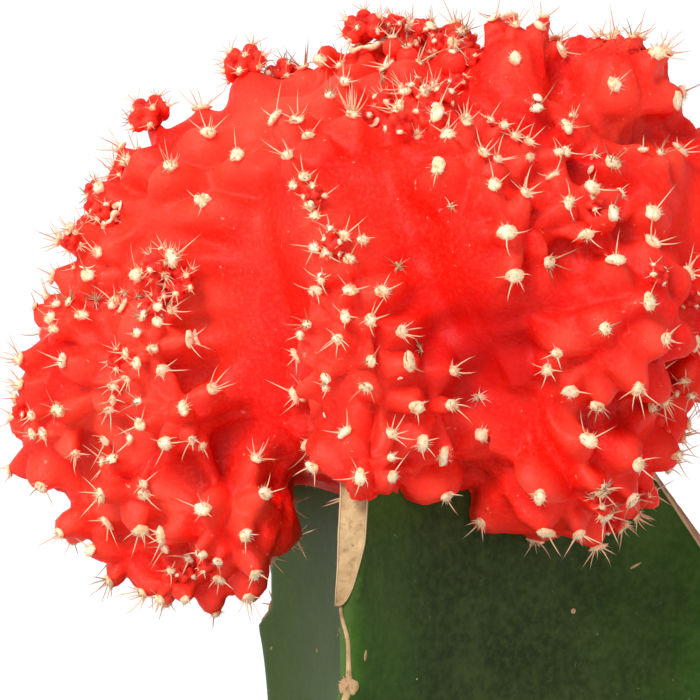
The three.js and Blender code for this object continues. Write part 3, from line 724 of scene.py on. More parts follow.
def listAreoles():
    # those read from the picture, and then the ones that it doesn't show
    found = []
    for i, (across, up) in enumerate(frontAreoles):
        found.append(newAreole(underAreole(across, up, skin["usualRise"]), 3000 + 17 * i))
    taken = [a["place"] for a in found]
    for pup in [p for p in pups if p["size"] >= areole["leastPup"]]:
        for place, seed in placesOnRibs(pup):
            if abs(sample(field, fieldLow, skin["cell"], place[None])[0]) > areole["offSkin"]:
                continue
            if min(np.linalg.norm(np.array(taken) - place, axis=1)) < areole["apart"]:
                continue
            near, normal, _, _ = bareSkin.find_nearest(Vector(place))
            near = np.array(near)
            if isSeen(near, np.array(normal)) or isAtGraft(near):
                continue
            found.append(newAreole(near, seed))
            taken.append(near)
    return found


def isAtGraft(place):
    return place[2] < -mother["graft"] and math.hypot(place[0], place[1]) < mother["graftRadius"]


areoles = listAreoles()
print("areoles", len(areoles))


# Where the ribs run another way than to a pup's crown, as (across, up, reach, degrees from level)
flows = [(8, -19, 9, -52), (14, -8, 5, -70), (-19, -22, 6, 75), (-31, -9, 6, 15), (-31, -20, 5, 25)]


def ribDirection(place, normal):
    # along the rib that an areole sits on, or nothing at a crown
    grown = [p for p in pups if p["size"] > bud["bead"]]
    near = min(grown, key=lambda p: abs(np.linalg.norm(place - p["place"]) - p["size"]))
    axis = near["axis"]
    if place[1] < 0:
        for across, up, reach, degrees in flows:
            if math.hypot(place[0] - across, place[2] - up) < reach:
                axis = around(math.radians(degrees), viewRight, viewUp)
    flat = axis - (axis @ normal) * normal
    size = np.linalg.norm(flat)
    return flat / size if size > 0.35 else 0 * flat


def setRibs():
    places = np.array([a["place"] for a in areoles])
    for a in areoles:
        a["rib"] = ribDirection(a["place"], a["normal"])
        nearest = np.sort(np.linalg.norm(places - a["place"], axis=1))[1]
        a["room"] = min(1, max(0.72, nearest / 2.7))


def relief(points):
    # from the nearest areoles: how far the skin stands out, how deep in a fold it is, which sets painted
    # shade, and how near to one, which sets a painted highlight
    nest = KDTree(len(areoles))
    for i, a in enumerate(areoles):
        nest.insert(a["place"], i)
    nest.balance()
    near = np.array([[i for _, i, _ in nest.find_n(p, 6)] for p in points.tolist()])
    offset = points[:, None] - np.array([a["place"] for a in areoles])[near]
    onRib = (offset * np.array([a["rib"] for a in areoles])[near]).sum(-1)
    reach = np.sqrt((offset ** 2).sum(-1) - (1 - skin["ridge"] ** 2) * onRib ** 2)
    first, second = np.sort(reach, 1)[:, :2].T
    here = np.exp(-(first / skin["fade"]) ** 4)
    close = np.exp(-((first + second) / skin["far"]) ** 3)
    for across, up, wide, share in calm:
        close = close * (1 - share * patch(points, across, up, wide))
    cells = 1 - np.exp(-((second - first) / skin["cellWidth"]) ** 1.6)
    cusp = np.exp(-(first / skin["cuspWidth"]) ** 1.3)
    rise = here * (skin["cellDepth"] * close * (cells - 0.5) + skin["cusp"] * cusp - skin["sink"])
    valley = here * close * np.exp(-((second - first) / skin["crease"]) ** 1.3)
    return rise, valley, here * np.exp(-(first / 1.8) ** 2)


# Painted highlights (above 0) and painted shade (below 0) on the skin, as (across, up, reach, amount) seen
# from the front
paintedLightSpots = [
    (-29, 3, 8, 0.35), (-17, 13, 9, 0.4), (-30, -12, 8, 0.2), (-33, -21, 6, 0.3), (-10, -8, 8, 0.15),
    (3, -8.3, 5.2, -1.15), (1, -5, 4, -0.4), (8.3, 12.8, 1.9, -1.1), (12.6, 8.9, 1.3, -1.0),
    (6.2, -9, 1.8, -0.6), (17.5, 11.5, 2.5, 0.3), (-32.5, -14.4, 2, 0.5), (16, 1, 6, -0.1), (19, 14, 5, 0.1),
    (-9, 6, 6, 0.15), (17, -16, 6, -0.1), (19.6, -9.9, 1.6, -0.9), (16, -13.7, 1.5, -0.8),
    (10, -6.8, 1.6, 0.5), (11.2, -14, 1.5, 0.4), (18, -6.8, 1.5, 0.3),
    (-30.2, -18.9, 1.6, -0.8), (-25.5, -18.5, 1.5, -0.4), (-19.4, -15.5, 4, -0.5), (-19, -22, 1.8, 0.5),
    (-26.2, -21.6, 1.4, 0.4), (-34.3, -16.2, 1.8, 0.4), (-23, -3.5, 2.4, 0.4),
]


def paintedLightAndToneAt(points):
    # painted light and shade from the spots, over a random tone
    total = 0.5 + 0.09 * ripple(points, 31, 15) + 0.05 * ripple(points, 13, 25)
    for across, up, reach, amount in paintedLightSpots:
        total = total + 0.5 * amount * patch(points, across, up, reach)
    return np.clip(total, 0, 1)


# Smooth domes, as (across, up, reach, share of the folds that is left out)
calm = [(14.2, -5, 5.5, 0.9), (9, 8, 3, 0.5), (5, 3, 3, 0.5), (5.9, 17.5, 4.5, 0.9), (15, 16, 5.5, 0.9)]
# Places crowded with small lumps, as (across, up, reach, height of the lumps); their hollows get painted
# shade
crowds = [
    (-3.5, 16.5, 4.2, 0.42), (-26, 1, 2.6, 0.35), (-26.5, -4, 2.2, 0.35), (-30, 7, 2.5, 0.3),
    (12.5, 9, 2, 0.35), (20.5, -1.5, 2.5, 0.3), (14, -21.5, 2, 0.35),
]


def patch(points, across, up, reach):
    # 1 at a place on the skin, falling to 0 around it
    place, _ = onSkin(across, up)
    return np.exp(-((points - place) ** 2).sum(-1) / reach ** 2)


# Creases that show from the front, cut into the skin and given painted shade, as (depth, half width, the
# (across, up) places that they run through)
creases = [
    (0.7, 0.7, [(8.5, 6.5), (8.1, 4.0), (7.9, 0.9), (7.1, -1.6)]),
    (0.9, 0.9, [(6.2, -1.7), (8.5, -0.3), (11.2, 0.7), (13.9, 0.8)]),
    (0.6, 0.8, [(12.0, 5.0), (12.7, 2.9), (12.5, 0.9)]),
    (0.4, 0.7, [(5.8, 7.0), (8.0, 5.7), (10.9, 5.1), (12.5, 5.8)]),
    (0.5, 0.9, [(2.8, 6.3), (3.5, 3.1), (3.9, -0.7)]),
    (0.9, 1.3, [(6.2, -2.2), (6.3, -5.0), (6.6, -8.2), (7.2, -11.2)]),
    (0.9, 0.8, [(10.7, -9.8), (12.5, -9.2), (14.3, -7.9), (16.1, -6.1), (18.1, -4.6)]),
    (0.7, 0.9, [(7.6, -4.7), (9.8, -4.1), (13.4, -3.4), (17.0, -2.6)]),
    (1.0, 1.0, [(13.2, -13.8), (15.7, -13.4), (17.5, -12.9), (19.3, -12.4)]),
    (0.9, 0.9, [(13.4, -13.7), (13.9, -16.2), (13.8, -18.9), (13.6, -21.3)]),
    (0.8, 1.0, [(6.4, -12.4), (8.3, -16.0), (9.6, -18.7), (11.6, -21.6), (12.5, -22.7)]),
    (0.7, 0.8, [(1.8, -15.5), (1.5, -17.6), (1.9, -19.8), (2.2, -21.6)]),
    (0.6, 0.8, [(3.9, -18.2), (5.5, -20.5), (7.5, -22.7), (8.7, -24.3)]),
    (0.6, 0.8, [(11.4, -22.1), (13.4, -21.9), (15.0, -22.3), (17.0, -21.4)]),
    (0.8, 1.1, [(20.4, -8.4), (19.7, -9.6), (19.2, -11.3)]),
    (0.5, 0.7, [(17.6, -13.3), (18.0, -16.2), (18.2, -18.7)]),
    (0.6, 0.6, [(-11.6, -2.3), (-9.5, -1.9), (-8.0, -1.4)]),
    (0.9, 0.8, [(-5.7, -4.0), (-5.4, -6.3), (-6.0, -8.3), (-6.0, -10.1)]),
    (0.7, 0.7, [(-10.4, -11.8), (-8.9, -10.8), (-6.0, -10.0)]),
    (0.5, 0.6, [(-8.9, -6.3), (-8.1, -7.5), (-8.9, -9.0), (-9.5, -10.4)]),
    (0.5, 0.6, [(-8.9, -3.9), (-8.0, -4.0), (-5.8, -3.6)]),
    (0.6, 0.6, [(-1.3, -11.1), (-1.8, -12.6), (-2.1, -14.2)]),
    (0.6, 0.6, [(-5.0, -14.8), (-2.3, -14.5), (-0.5, -14.5), (1.7, -13.3)]),
    (0.5, 0.6, [(-7.6, -13.0), (-6.7, -15.3), (-6.5, -16.9)]),
    (0.7, 0.7, [(-3.5, -18.2), (-1.0, -18.9), (1.2, -19.3), (2.4, -17.1)]),
    (0.5, 0.6, [(-7.1, -17.3), (-6.8, -19.6), (-7.6, -21.6)]),
    (0.5, 0.6, [(-3.5, -18.9), (-3.5, -20.7), (-4.4, -22.1)]),
    (0.6, 0.8, [(-12.0, -14.2), (-12.8, -16.6), (-13.3, -19.8)]),
    (0.5, 0.6, [(-1.9, -14.8), (-0.7, -16.2), (-1.7, -18.2)]),
    (0.8, 0.7, [(-35.0, -2.4), (-32.9, -2.7), (-30.7, -3.0), (-29.6, -3.8)]),
    (0.7, 0.9, [(-33.6, -5.2), (-31.8, -6.1), (-30.3, -7.2), (-30.5, -8.3)]),
    (0.7, 0.7, [(-36.3, -7.6), (-34.3, -8.1), (-32.3, -8.4)]),
    (0.6, 0.7, [(-37.0, -12.4), (-35.2, -12.2), (-33.0, -12.3), (-30.7, -12.1)]),
    (0.7, 0.7, [(-37.0, -14.9), (-35.0, -15.1), (-33.0, -15.4), (-32.3, -16.7)]),
    (0.9, 0.9, [(-32.7, -16.7), (-31.9, -18.9), (-30.0, -19.6), (-28.2, -19.1)]),
    (0.6, 0.7, [(-36.4, -20.9), (-32.9, -21.1), (-31.6, -21.9)]),
    (0.6, 0.7, [(-27.1, -17.1), (-26.6, -19.3), (-27.1, -21.6), (-29.1, -22.3)]),
    (0.8, 0.8, [(-22.9, -18.9), (-23.5, -21.6), (-23.5, -24.8), (-24.0, -27.0)]),
    (0.6, 0.9, [(-21.1, -14.8), (-20.2, -17.1), (-19.8, -19.8), (-19.7, -23.4), (-20.4, -27.0)]),
    (0.6, 0.7, [(-32.1, -24.0), (-29.8, -24.3), (-27.7, -25.6), (-27.3, -27.7)]),
    (0.6, 0.6, [(-27.1, -25.7), (-26.0, -26.6), (-23.8, -27.3), (-23.5, -29.2)]),
    (0.8, 0.7, [(-29.6, -10.0), (-27.1, -10.3), (-24.8, -9.5), (-22.2, -10.2)]),
    (0.25, 0.9, [(-23.3, -4.0), (-22.3, -7.2), (-22.1, -10.3), (-21.1, -13.0)]),
    (0.6, 0.6, [(-6.6, 11.4), (-4.6, 11.2), (-2.3, 11.1), (-0.8, 11.6)]),
    (0.8, 0.7, [(-6.0, 19.3), (-5.7, 16.7), (-6.1, 14.0)]),
    (0.9, 0.9, [(-3.2, 20.3), (-2.4, 19.1), (-1.3, 18.2)]),
    (0.6, 0.7, [(-1.3, 16.0), (-1.7, 14.4), (-0.8, 12.8)]),
    (0.9, 0.9, [(11.8, 9.7), (12.5, 8.8), (13.0, 7.9)]),
    (1.3, 0.9, [(1.6, 15.8), (4.0, 14.0), (6.8, 13.2), (8.9, 13.5), (10.2, 15.6), (10.2, 18.2)]),
    (1.3, 1.0, [(10.2, 15.6), (10.4, 12.5), (11.5, 10.9), (13.6, 9.8), (15.7, 9.8), (17.7, 11.2),
                (19.8, 12.4)]),
    (0.6, 0.8, [(-31.6, 5.8), (-30.0, 6.3), (-28.5, 6.7)]),
]
# Crests that run to an areole, written the same way; they rise, lose painted shade and get a painted
# highlight
crests = [
    (0.7, 0.9, [(3.2, -15.7), (5.0, -17.7), (6.8, -19.8), (8.0, -21.1)]),
    (0.7, 1.0, [(8.9, -14.4), (10.7, -16.8), (12.3, -19.1), (13.7, -20.6)]),
    (0.5, 1.0, [(8.2, -21.3), (8.5, -22.9), (8.5, -24.7)]),
    (0.6, 0.8, [(18.4, -13.1), (17.6, -15.7), (17.3, -18.3)]),
    (0.6, 0.7, [(19.4, -7.2), (18.5, -8.2), (17.7, -10.1), (17.0, -11.3), (15.7, -12.1), (12.5, -12.6)]),
    (0.5, 0.9, [(4.9, 2.3), (5.4, 0.4), (5.6, -1.4)]),
    (0.5, 0.8, [(-8.9, -19.5), (-7.8, -21.6), (-7.2, -23.1)]),
    (0.6, 0.8, [(-22.5, -22.3), (-22.4, -24.3), (-22.6, -26.1)]),
    (0.6, 0.9, [(-17.6, -18.2), (-17.0, -21.1), (-18.1, -25.2), (-17.6, -28.2)]),
    (0.5, 0.8, [(-25.9, -16.4), (-25.3, -20.7), (-25.6, -24.7)]),
    (0.5, 0.9, [(-31.6, -21.3), (-31.8, -24.3), (-32.3, -26.1)]),
    (0.4, 0.9, [(14.3, -0.2), (17.9, -3.6)]),
]


def strokes(points, normals, lines):
    # the depth or height that creases or crests have at each point
    place = inPicture(points)
    facing = np.clip(-3 * (normals * unit(points - localEye)).sum(-1), 0, 1)
    total = 0 * facing
    for depth, width, path in lines:
        nearest = 0 * facing + 99
        for start, end in zip(np.array(path), np.array(path[1:])):
            run = end - start
            share = np.clip((place - start) @ run / (run @ run), 0, 1)
            nearest = np.minimum(nearest, np.linalg.norm(place - start - share[:, None] * run, axis=1))
        total = np.maximum(total, depth * np.exp(-(nearest / width) ** 2))
    return total * facing


def placeAgain():
    # the front areoles, with the height that the skin has under each of them
    front = areoles[:len(frontAreoles)]
    rise, _, _ = relief(np.array([a["place"] for a in front]))
    for a, (across, up), height in zip(front, frontAreoles, rise):
        a["place"] = underAreole(across, up, height)
        a["normal"] = smoothNormal(a["place"])
    setRibs()


setRibs()
for _ in range(2):
    placeAgain()
print("areoles placed")


def buildSkin():
    rise, folds, raisedHighlight = relief(skinPoints)
    cut = strokes(skinPoints, skinNormals, creases)
    crest = strokes(skinPoints, skinNormals, crests)
    rise = rise - cut + crest
    # creases add painted shade, and crests take it away
    folds = np.clip(folds - crest, 0, 1) + 0.9 * cut
    lumps = ripple(skinPoints, 2.4, 33, 9)
    for across, up, wide, height in crowds:
        crowded = patch(skinPoints, across, up, wide) * height
        rise = rise + crowded * lumps
        folds = folds + crowded * np.clip(-1.6 * lumps, 0, 2)
    # painted highlight near the areoles and on crests, none in creases
    raisedHighlight = raisedHighlight * (1 - np.clip(cut, 0, 1)) + 0.45 * crest ** 2
    rise = rise + 0.12 * ripple(skinPoints, 7, 5) + 0.04 * ripple(skinPoints, 2.2, 8)
    points = skinPoints + skinNormals * rise[:, None]
    # painted shade: lower where another skin lies close, and in folds, creases and crowded hollows
    room = sample(field, fieldLow, skin["cell"], skinPoints + skinNormals * skin["shade"]) / skin["shade"]
    creaseShade = np.clip(room, 0, 1) - 0.34 * folds
    marks = {"creaseShade": creaseShade, "raisedHighlight": raisedHighlight, "paintedLightAndTone": paintedLightAndToneAt(skinPoints)}
    piece = makePiece("head_skin", points + centre, skinFaces, redSkin, numbers=marks)
    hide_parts("cactus_head")
    for a in areoles:
        lift, _, _ = relief(a["place"][None])
        a["place"] = a["place"] + a["normal"] * lift[0]
    return points


skinPoints = buildSkin()
fullSkin = BVHTree.FromPolygons(skinPoints.tolist(), skinFaces.tolist())
for a in areoles:
    above = Vector(a["place"] + 1.2 * a["normal"])
    hit, _, _, _ = fullSkin.ray_cast(above, Vector(-a["normal"]), 3)
    if hit is not None:
        a["place"] = np.array(hit)
print("head skin built")


def onFullSkin(across, up, away=None):
    return seenOn(fullSkin, across, up, away)


# Small shapes that are copied many times, gathered in one mesh each
class Gathered:
    def __init__(self):
        self.points, self.faces, self.along, self.count = [], [], [], 0

    def add(self, points, faces, along=None):
        self.points.append(np.asarray(points))
        self.faces += [[i + self.count for i in f] for f in faces]
        self.along.append(np.zeros(len(points)) if along is None else np.asarray(along))
        self.count += len(points)

    def build(self, name, material, slot, smooth=True, origin=(0, 0, 0), marks=("along",), paintedLightAndTone=None):
        print(name, len(self.faces), "faces")
        numbers = {mark: np.concatenate(self.along) for mark in marks}
        if paintedLightAndTone is not None:
            numbers["paintedLightAndTone"] = np.full(self.count, paintedLightAndTone)
        points = np.concatenate(self.points) + origin
        return makePiece(name, points, self.faces, material, smooth, numbers)


def ballMesh(level):
    mesh = bpy.data.meshes.new("ball")
    shape = bmesh.new()
    bmesh.ops.create_icosphere(shape, subdivisions=level, radius=1)
    shape.to_mesh(mesh)
    shape.free()
    points = np.array([v.co for v in mesh.vertices])
    faces = [list(p.vertices) for p in mesh.polygons]
    bpy.data.meshes.remove(mesh)
    return points, faces


def thread(gathered, root, direction, length, radius, tip, bend, sides=4, parts=3):
    # a tapering, bent needle or hair
    direction = unit(direction)
    first, second = sideways(direction)
    centres = [root + direction * length * t + bend * length * t * t for t in np.linspace(0, 1, parts + 1)]
    points, along = [], []
    for k, place in enumerate(centres[:-1]):
        t = k / parts
        points += ringAround(place, radius + (tip - radius) * t, first, second, sides)
        along += [t] * sides
    last = (parts - 1) * sides
    faces = [list(range(sides))[::-1]] + bands(parts, sides)
    faces += [[last + s, last + (s + 1) % sides, len(points)] for s in range(sides)]
    gathered.add(points + [centres[-1]], faces, along + [1])


# Buds: the smallest pups, each a ball of tubercles
rosetteBall = ballMesh(4)
finestBall = ballMesh(3)
smallBall = ballMesh(2)
tinyBall = ballMesh(1)
goldenTurn = math.pi * (3 - math.sqrt(5))


def buildBud(gathered, place, axis, size, seed, shape=finestBall):
    # tubercles in a spiral from the crown, and areoles on most of them
    count = 7 + int(4 * chance(seed) + 1.5 * size)
    side, rear = sideways(axis)
    tips = []
    for k in range(count):
        polar = 0.25 + 1.75 * math.sqrt((k + 0.3) / count)
        tips.append(around(polar, axis, around(k * goldenTurn + 6 * chance(seed + 1), side, rear)))
    ball, faces = shape
    angle = np.arccos(np.clip(ball @ np.array(tips).T, -1, 1))
    width = 1.7 / math.sqrt(count)
    reach = bud["low"] + bud["rise"] * np.sqrt(np.clip(1 - (angle / width) ** 2, 0, 1)).max(1)
    gathered.add(place + ball * (reach * size)[:, None], faces, (reach - bud["low"]) / bud["rise"])
    top = bud["low"] + bud["rise"] * 0.96
    found = []
    for k, tip in enumerate(tips):
        if k < count * 0.85 and (k % 2 or size > 1.3):
            found.append({"place": place + tip * size * top, "normal": unit(tip + 0.5 * axis),
                          "seed": seed + 29 * k, "size": 0.42 + 0.13 * size})
    return found


def spareBuds():
    # in small groups on the sides and at the back, half sunk in the skin
    found = []
    for k in range(bud["spare"]):
        seed = 7000 + 19 * k
        group = 7500 + 23 * (k // 3)
        turn = math.radians(80 + 200 * chance(group) + 9 * spread(seed))
        rise = 0.8 * spread(group + 1) + 0.12 * spread(seed + 1)
        out = np.array([math.cos(rise) * math.sin(turn), -math.cos(rise) * math.cos(turn), math.sin(rise)])
        place, normal, _, _ = fullSkin.ray_cast(Vector(out * 60), Vector(-out))
        if place is not None:
            size = 1.0 + 0.9 * chance(seed + 2)
            sunk = np.array(place) + 0.35 * size * np.array(normal)
            found.append({"place": sunk, "axis": unit(out), "size": size, "seed": seed})
    return found


def buildBead(gathered, pup):
    # a smooth ball with one areole towards its top
    ball, faces = finestBall
    place, size, seed = pup["place"], pup["size"], pup["seed"] * 53
    lump = 1 + 0.05 * ripple(ball + seed % 9, 1.7, seed)
    gathered.add(place + ball * lump[:, None] * size, faces, 0.75 + 0 * lump)
    tip = unit(pup["axis"] + np.array([0, -0.2, 0.7]))
    return {"place": place + tip * size, "normal": tip, "seed": seed, "size": 0.8}


def buildCollar(gathered, place, axis, size, seed):
    # the ring of wool that a rosette stands in
    side, rear = sideways(axis)
    turns = np.linspace(0, 2 * math.pi, 40, endpoint=False)
    wave = 1 + 0.08 * np.sin(3 * turns + seed)
    ring = place - axis * size * 0.8 + size * 0.82 * (np.cos(turns) * wave)[:, None] * side
    ring = ring + size * 0.82 * (np.sin(turns) * wave)[:, None] * rear
    ring = ring + (0.1 * np.sin(5 * turns + seed))[:, None] * axis
    thick = 0.24 + 0.08 * np.sin(4 * turns + 2 * seed) + 0.04 * np.sin(11 * turns)
    points = []
    for middle, turn, radius in zip(ring, turns, thick):
        points += ringAround(middle, radius, around(turn, side, rear), axis, 8)
    gathered.add(points, [[a, d, c, b] for a, b, c, d in bands(len(turns), 8, isLoop=True)])


def addBuds():
    large, collars, small = Gathered(), Gathered(), Gathered()
    tips = [buildBead(large, pup) for pup in pups if pup["size"] <= bud["bead"]]
    for i, (across, up, forward, size, isCollared) in enumerate(rosettes):
        place = seenPlace(across, up, forward)
        axis = unit(unit(place) + np.array([0, -0.1, 0.8]))
        found = buildBud(large, place, axis, size, 6000 + 91 * i, rosetteBall)
        tips += [dict(tip, isDense=True) for tip in found]
        if isCollared:
            buildCollar(collars, place, axis, size, i)
    for pup in spareBuds():
        axis = unit(pup["axis"] + np.array([0, 0, 0.6]))
        tips += buildBud(large, pup["place"], axis, pup["size"], pup["seed"] * 53)
        if chance(pup["seed"]) > 0.6:
            buildCollar(collars, pup["place"], axis, pup["size"], pup["seed"])
    place, normal = onFullSkin(*bud["woolRing"])
    buildCollar(collars, place + 0.5 * normal, normal, 0.62, 5)
    for i, (across, up, size) in enumerate(seenBuds):
        place, normal = onFullSkin(across, up, view["distance"])
        axis = unit(normal + [0, 0, 0.5])
        found = buildBud(small, place + 0.25 * size * normal, axis, size, 9100 + 71 * i)
        tips += [dict(tip, isDense=chance(i + 0.3) > 0.65) for tip in found if tip["normal"] @ normal > 0.1]
    # on buds each tubercle's rise gives painted shade between tubercles and a painted highlight on top;
    # their painted light and shade is even
    large.build("buds", redSkin, "red_flesh", origin=centre, marks=("creaseShade", "raisedHighlight"), paintedLightAndTone=0.5)
    collars.build("wool_collars", wool, "wool", origin=centre)
    small.build("small_buds", redSkin, "red_flesh", origin=centre, marks=("creaseShade", "raisedHighlight"), paintedLightAndTone=0.4)
    return tips


budAreoles = addBuds()


# Wool pads with their hairs, and the spines that stand in them
spine = {
    "length": 2.5,
    "radius": 0.078,
    "tip": 0.018,
    "most": 7,
    "oldShare": 0.14,  # share of the areoles whose spines are old and brown
}


# Tangles of dried hair and spines on the skin, as (across, up, size, share that is brown)
tangles = [
    (-31.9, -3.6, 1.5, 0.7), (-29.4, -3.1, 1.0, 0.6), (-28.2, -3.4, 0.9, 0.6), (-25.4, -3.9, 1.2, 0.7),
    (0.0, 4.95, 0.7, 0.4), (-4.8, -0.6, 1.1, 0.8), (-2.9, -8.1, 1.0, 0.6), (2.5, -12.3, 1.0, 0.2),
    (13.6, -20.6, 1.2, 0.5), (-6.0, 16.6, 1.1, 0.6), (-1.6, 18.4, 1.1, 0.6), (13.0, 9.4, 0.9, 0.5),
]


# Tufts of wool with many spines that point up, as (across, up, spines, their length)
tufts = [
    (-5.7, 21.9, 5, 1.6), (-3.6, 21.4, 6, 1.6), (-1.9, 21.6, 5, 1.6), (1.2, 20.7, 6, 1.8),
    (-8.9, 13.2, 9, 2.6), (-4.5, 15.5, 5, 2.2), (-5.0, 13.3, 4, 1.6), (-6.1, 14.7, 6, 1.4),
    (-2.4, 15.1, 5, 2.2), (-1.5, 15.8, 4, 2.2), (-1.3, 13.8, 3, 1.8), (-3.0, 11.3, 4, 1.2),
    (-0.5, 11.6, 4, 1.4), (1.3, 12.8, 5, 1.6), (11.0, 13.0, 3, 1.2), (-25.2, 8.3, 4, 2.6),
    (-31.9, 0.6, 4, 1.8), (-33.4, 4.0, 4, 1.8), (-29.3, 8.9, 5, 2.0), (-34.3, 2.9, 4, 1.8),
    (-25.6, 0.6, 4, 1.4), (-6.1, 19.8, 5, 2.4), (-2.9, 17.8, 4, 2.2), (-8.2, 22.5, 4, 1.2),
]
# Dried pale flakes, as (across, up, length, width, turn)
flakes = [
    (-30.1, 5.0, 1.2, 0.5, 40), (-30.5, 3.5, 1.6, 0.6, -50), (-32.7, -1.0, 1.6, 0.5, -60),
    (-23.6, -0.7, 1.0, 0.4, -40), (-5.8, 17.5, 1.9, 0.6, 60), (-1.3, 13.8, 1.2, 0.5, 15),
    (-6.8, 12.3, 1.2, 0.6, 35), (12.6, 8.2, 0.9, 0.45, 60), (7.7, 14.5, 1.1, 0.8, 10),
    (-4.7, -10.4, 0.5, 0.4, 0), (-8.2, 21.3, 1.8, 0.5, -10), (-29.6, 4.9, 1.0, 0.3, 70),
    (-23.1, -7.2, 1.7, 0.5, 85), (-11.2, -13.9, 0.6, 0.3, -40),
]


def listTufts():
    found = []
    for i, (across, up, count, length) in enumerate(tufts):
        place, normal = onFullSkin(across, up, view["distance"])
        found.append({"place": place, "normal": normal, "seed": 8800 + 31 * i, "size": 0.8, "spines": count,
                      "length": 1.5 * length, "lean": 1.1 * viewUp})
    return found


def addFlakes(gathered):
    ball, faces = smallBall
    for i, (across, up, length, width, turn) in enumerate(flakes):
        place, normal = onFullSkin(across, up)
        if place is None:
            continue
        first = around(math.radians(turn), viewRight, viewUp)
        first = unit(first - (first @ normal) * normal)
        bent = 0.25 + 0.35 * length * ball[:, :1] ** 2 * spread(i + 0.5)
        shape = ball[:, :1] * first * length / 2 + ball[:, 1:2] * np.cross(normal, first) * width / 2
        gathered.add(place + shape + (ball[:, 2:] * 0.07 + bent) * normal, faces)


def addTangles(pale, brown):
    for i, (across, up, size, share) in enumerate(tangles):
        place, normal = onFullSkin(across, up)
        if place is None:
            continue
        side, rear = sideways(normal)
        for k in range(16):
            seed = 8000 + 37 * i + 5.7 * k
            out = around(2 * math.pi * chance(seed), side, rear)
            root = place - out * size * 0.6 * chance(seed + 1) + normal * 0.15
            bend = 0.6 * size * spread(seed + 2) * np.cross(normal, out) - normal * 0.2 * size
            gathered = brown if chance(seed + 3) < share else pale
            heading = out + normal * 0.45 * chance(seed + 4)
            length = size * (0.7 + 1.1 * chance(seed + 5))
            thread(gathered, root, heading, length, 0.06, 0.02, bend, 4, 4)


def addPad(pads, a):
    # lumpy, and a little longer one way than the other
    seed = a["seed"]
    shape, faces = smallBall if a["isFull"] else tinyBall
    lump = 1 + 0.20 * ripple(shape + seed % 7, 1.9, seed) + 0.14 * ripple(shape + seed % 5, 0.8, seed + 3)
    stretch = 1 + 0.25 * spread(seed + 2)
    flat = (shape[:, :1] * a["side"] * stretch + shape[:, 1:2] * a["rear"] / stretch) * a["radius"]
    pad = (flat + shape[:, 2:] * a["normal"] * a["height"]) * lump[:, None]
    pads.add(a["place"] + pad, faces, np.hypot(shape[:, 0], shape[:, 1]) ** 3)


def addHairs(hairs, a):
    seed, side, rear = a["seed"], a["side"], a["rear"]
    for k in range(areole["hairs"] if a["isFull"] else areole["budHairs"]):
        out = around(2 * math.pi * chance(seed + 3.1 * k), side, rear)
        away = math.sqrt(chance(seed + 5.3 * k))
        root = a["place"] + out * a["radius"] * 0.85 * away + a["normal"] * a["height"] * (0.8 - 0.7 * away)
        stray = 0.5 * (spread(seed + 2.3 * k) * side + spread(seed + 4.7 * k) * rear)
        heading = out * (0.2 + 1.3 * away) + a["normal"] * 0.8 + stray
        length = a["size"] * a["room"] * areole["hairLength"] * (0.5 + 0.8 * chance(seed + 7.9 * k))
        thread(hairs, root, heading, length, areole["hairRadius"], areole["hairTip"], np.zeros(3), 3, 1)


def addSpines(spines, a):
    seed, side, rear = a["seed"], a["side"], a["rear"]
    draw = chance(seed + 31)
    count = int(1.2 + (spine["most"] - 1) * draw if a["isFull"] else 3.2 * draw)
    if a.get("isDense"):
        count = 4 + int(3 * chance(seed + 33))
    count = a.get("spines", count)
    start = 2 * math.pi * chance(seed + 41)
    thick = spine["radius"] * (1 if a["isFull"] else 0.6)
    for k in range(count):
        out = around(start + 2 * math.pi * (k + 0.35 * spread(seed + 13 * k)) / count, side, rear)
        lean = 0.35 + 1.6 * chance(seed + 17 * k) ** 1.2
        length = a.get("length", spine["length"]) * (0.55 + 0.75 * chance(seed + 19 * k))
        length *= (0.35 + 0.65 * a["room"]) * (a["size"] if a["isFull"] else 0.55)
        bend = 0.18 * (spread(seed + 23 * k) * side + spread(seed + 29 * k) * rear) - 0.12 * out
        heading = out * lean + a["normal"] + a.get("lean", 0)
        thread(spines, a["place"] + out * a["radius"] * 0.35, heading, length, thick, spine["tip"], bend)


def addAreoles():
    pads, hairs, spines, oldSpines = Gathered(), Gathered(), Gathered(), Gathered()
    for a in areoles + budAreoles + listTufts():
        seed = a["seed"]
        a.setdefault("room", 0.8)
        a["isFull"] = a["size"] > areole["fullSize"]
        a["normal"] = unit(a["normal"])
        a["side"], a["rear"] = sideways(a["normal"])
        a["radius"] = areole["radius"] * a["size"] * a["room"] * (0.85 + 0.4 * chance(seed))
        a["height"] = areole["height"] * a["size"] * a["room"] * (0.7 + 0.6 * chance(seed + 1))
        addPad(pads, a)
        addHairs(hairs, a)
        addSpines(oldSpines if chance(seed + 77) > 1 - spine["oldShare"] else spines, a)
    addTangles(hairs, oldSpines)
    addFlakes(pads)
    pads.build("areole_wool", wool, "wool", origin=centre)
    hairs.build("wool_hairs", wool, "wool", origin=centre)
    spines.build("spines", strawSpine, "spines", origin=centre)
    oldSpines.build("old_spines", brownSpine, "spines", origin=centre)


addAreoles()


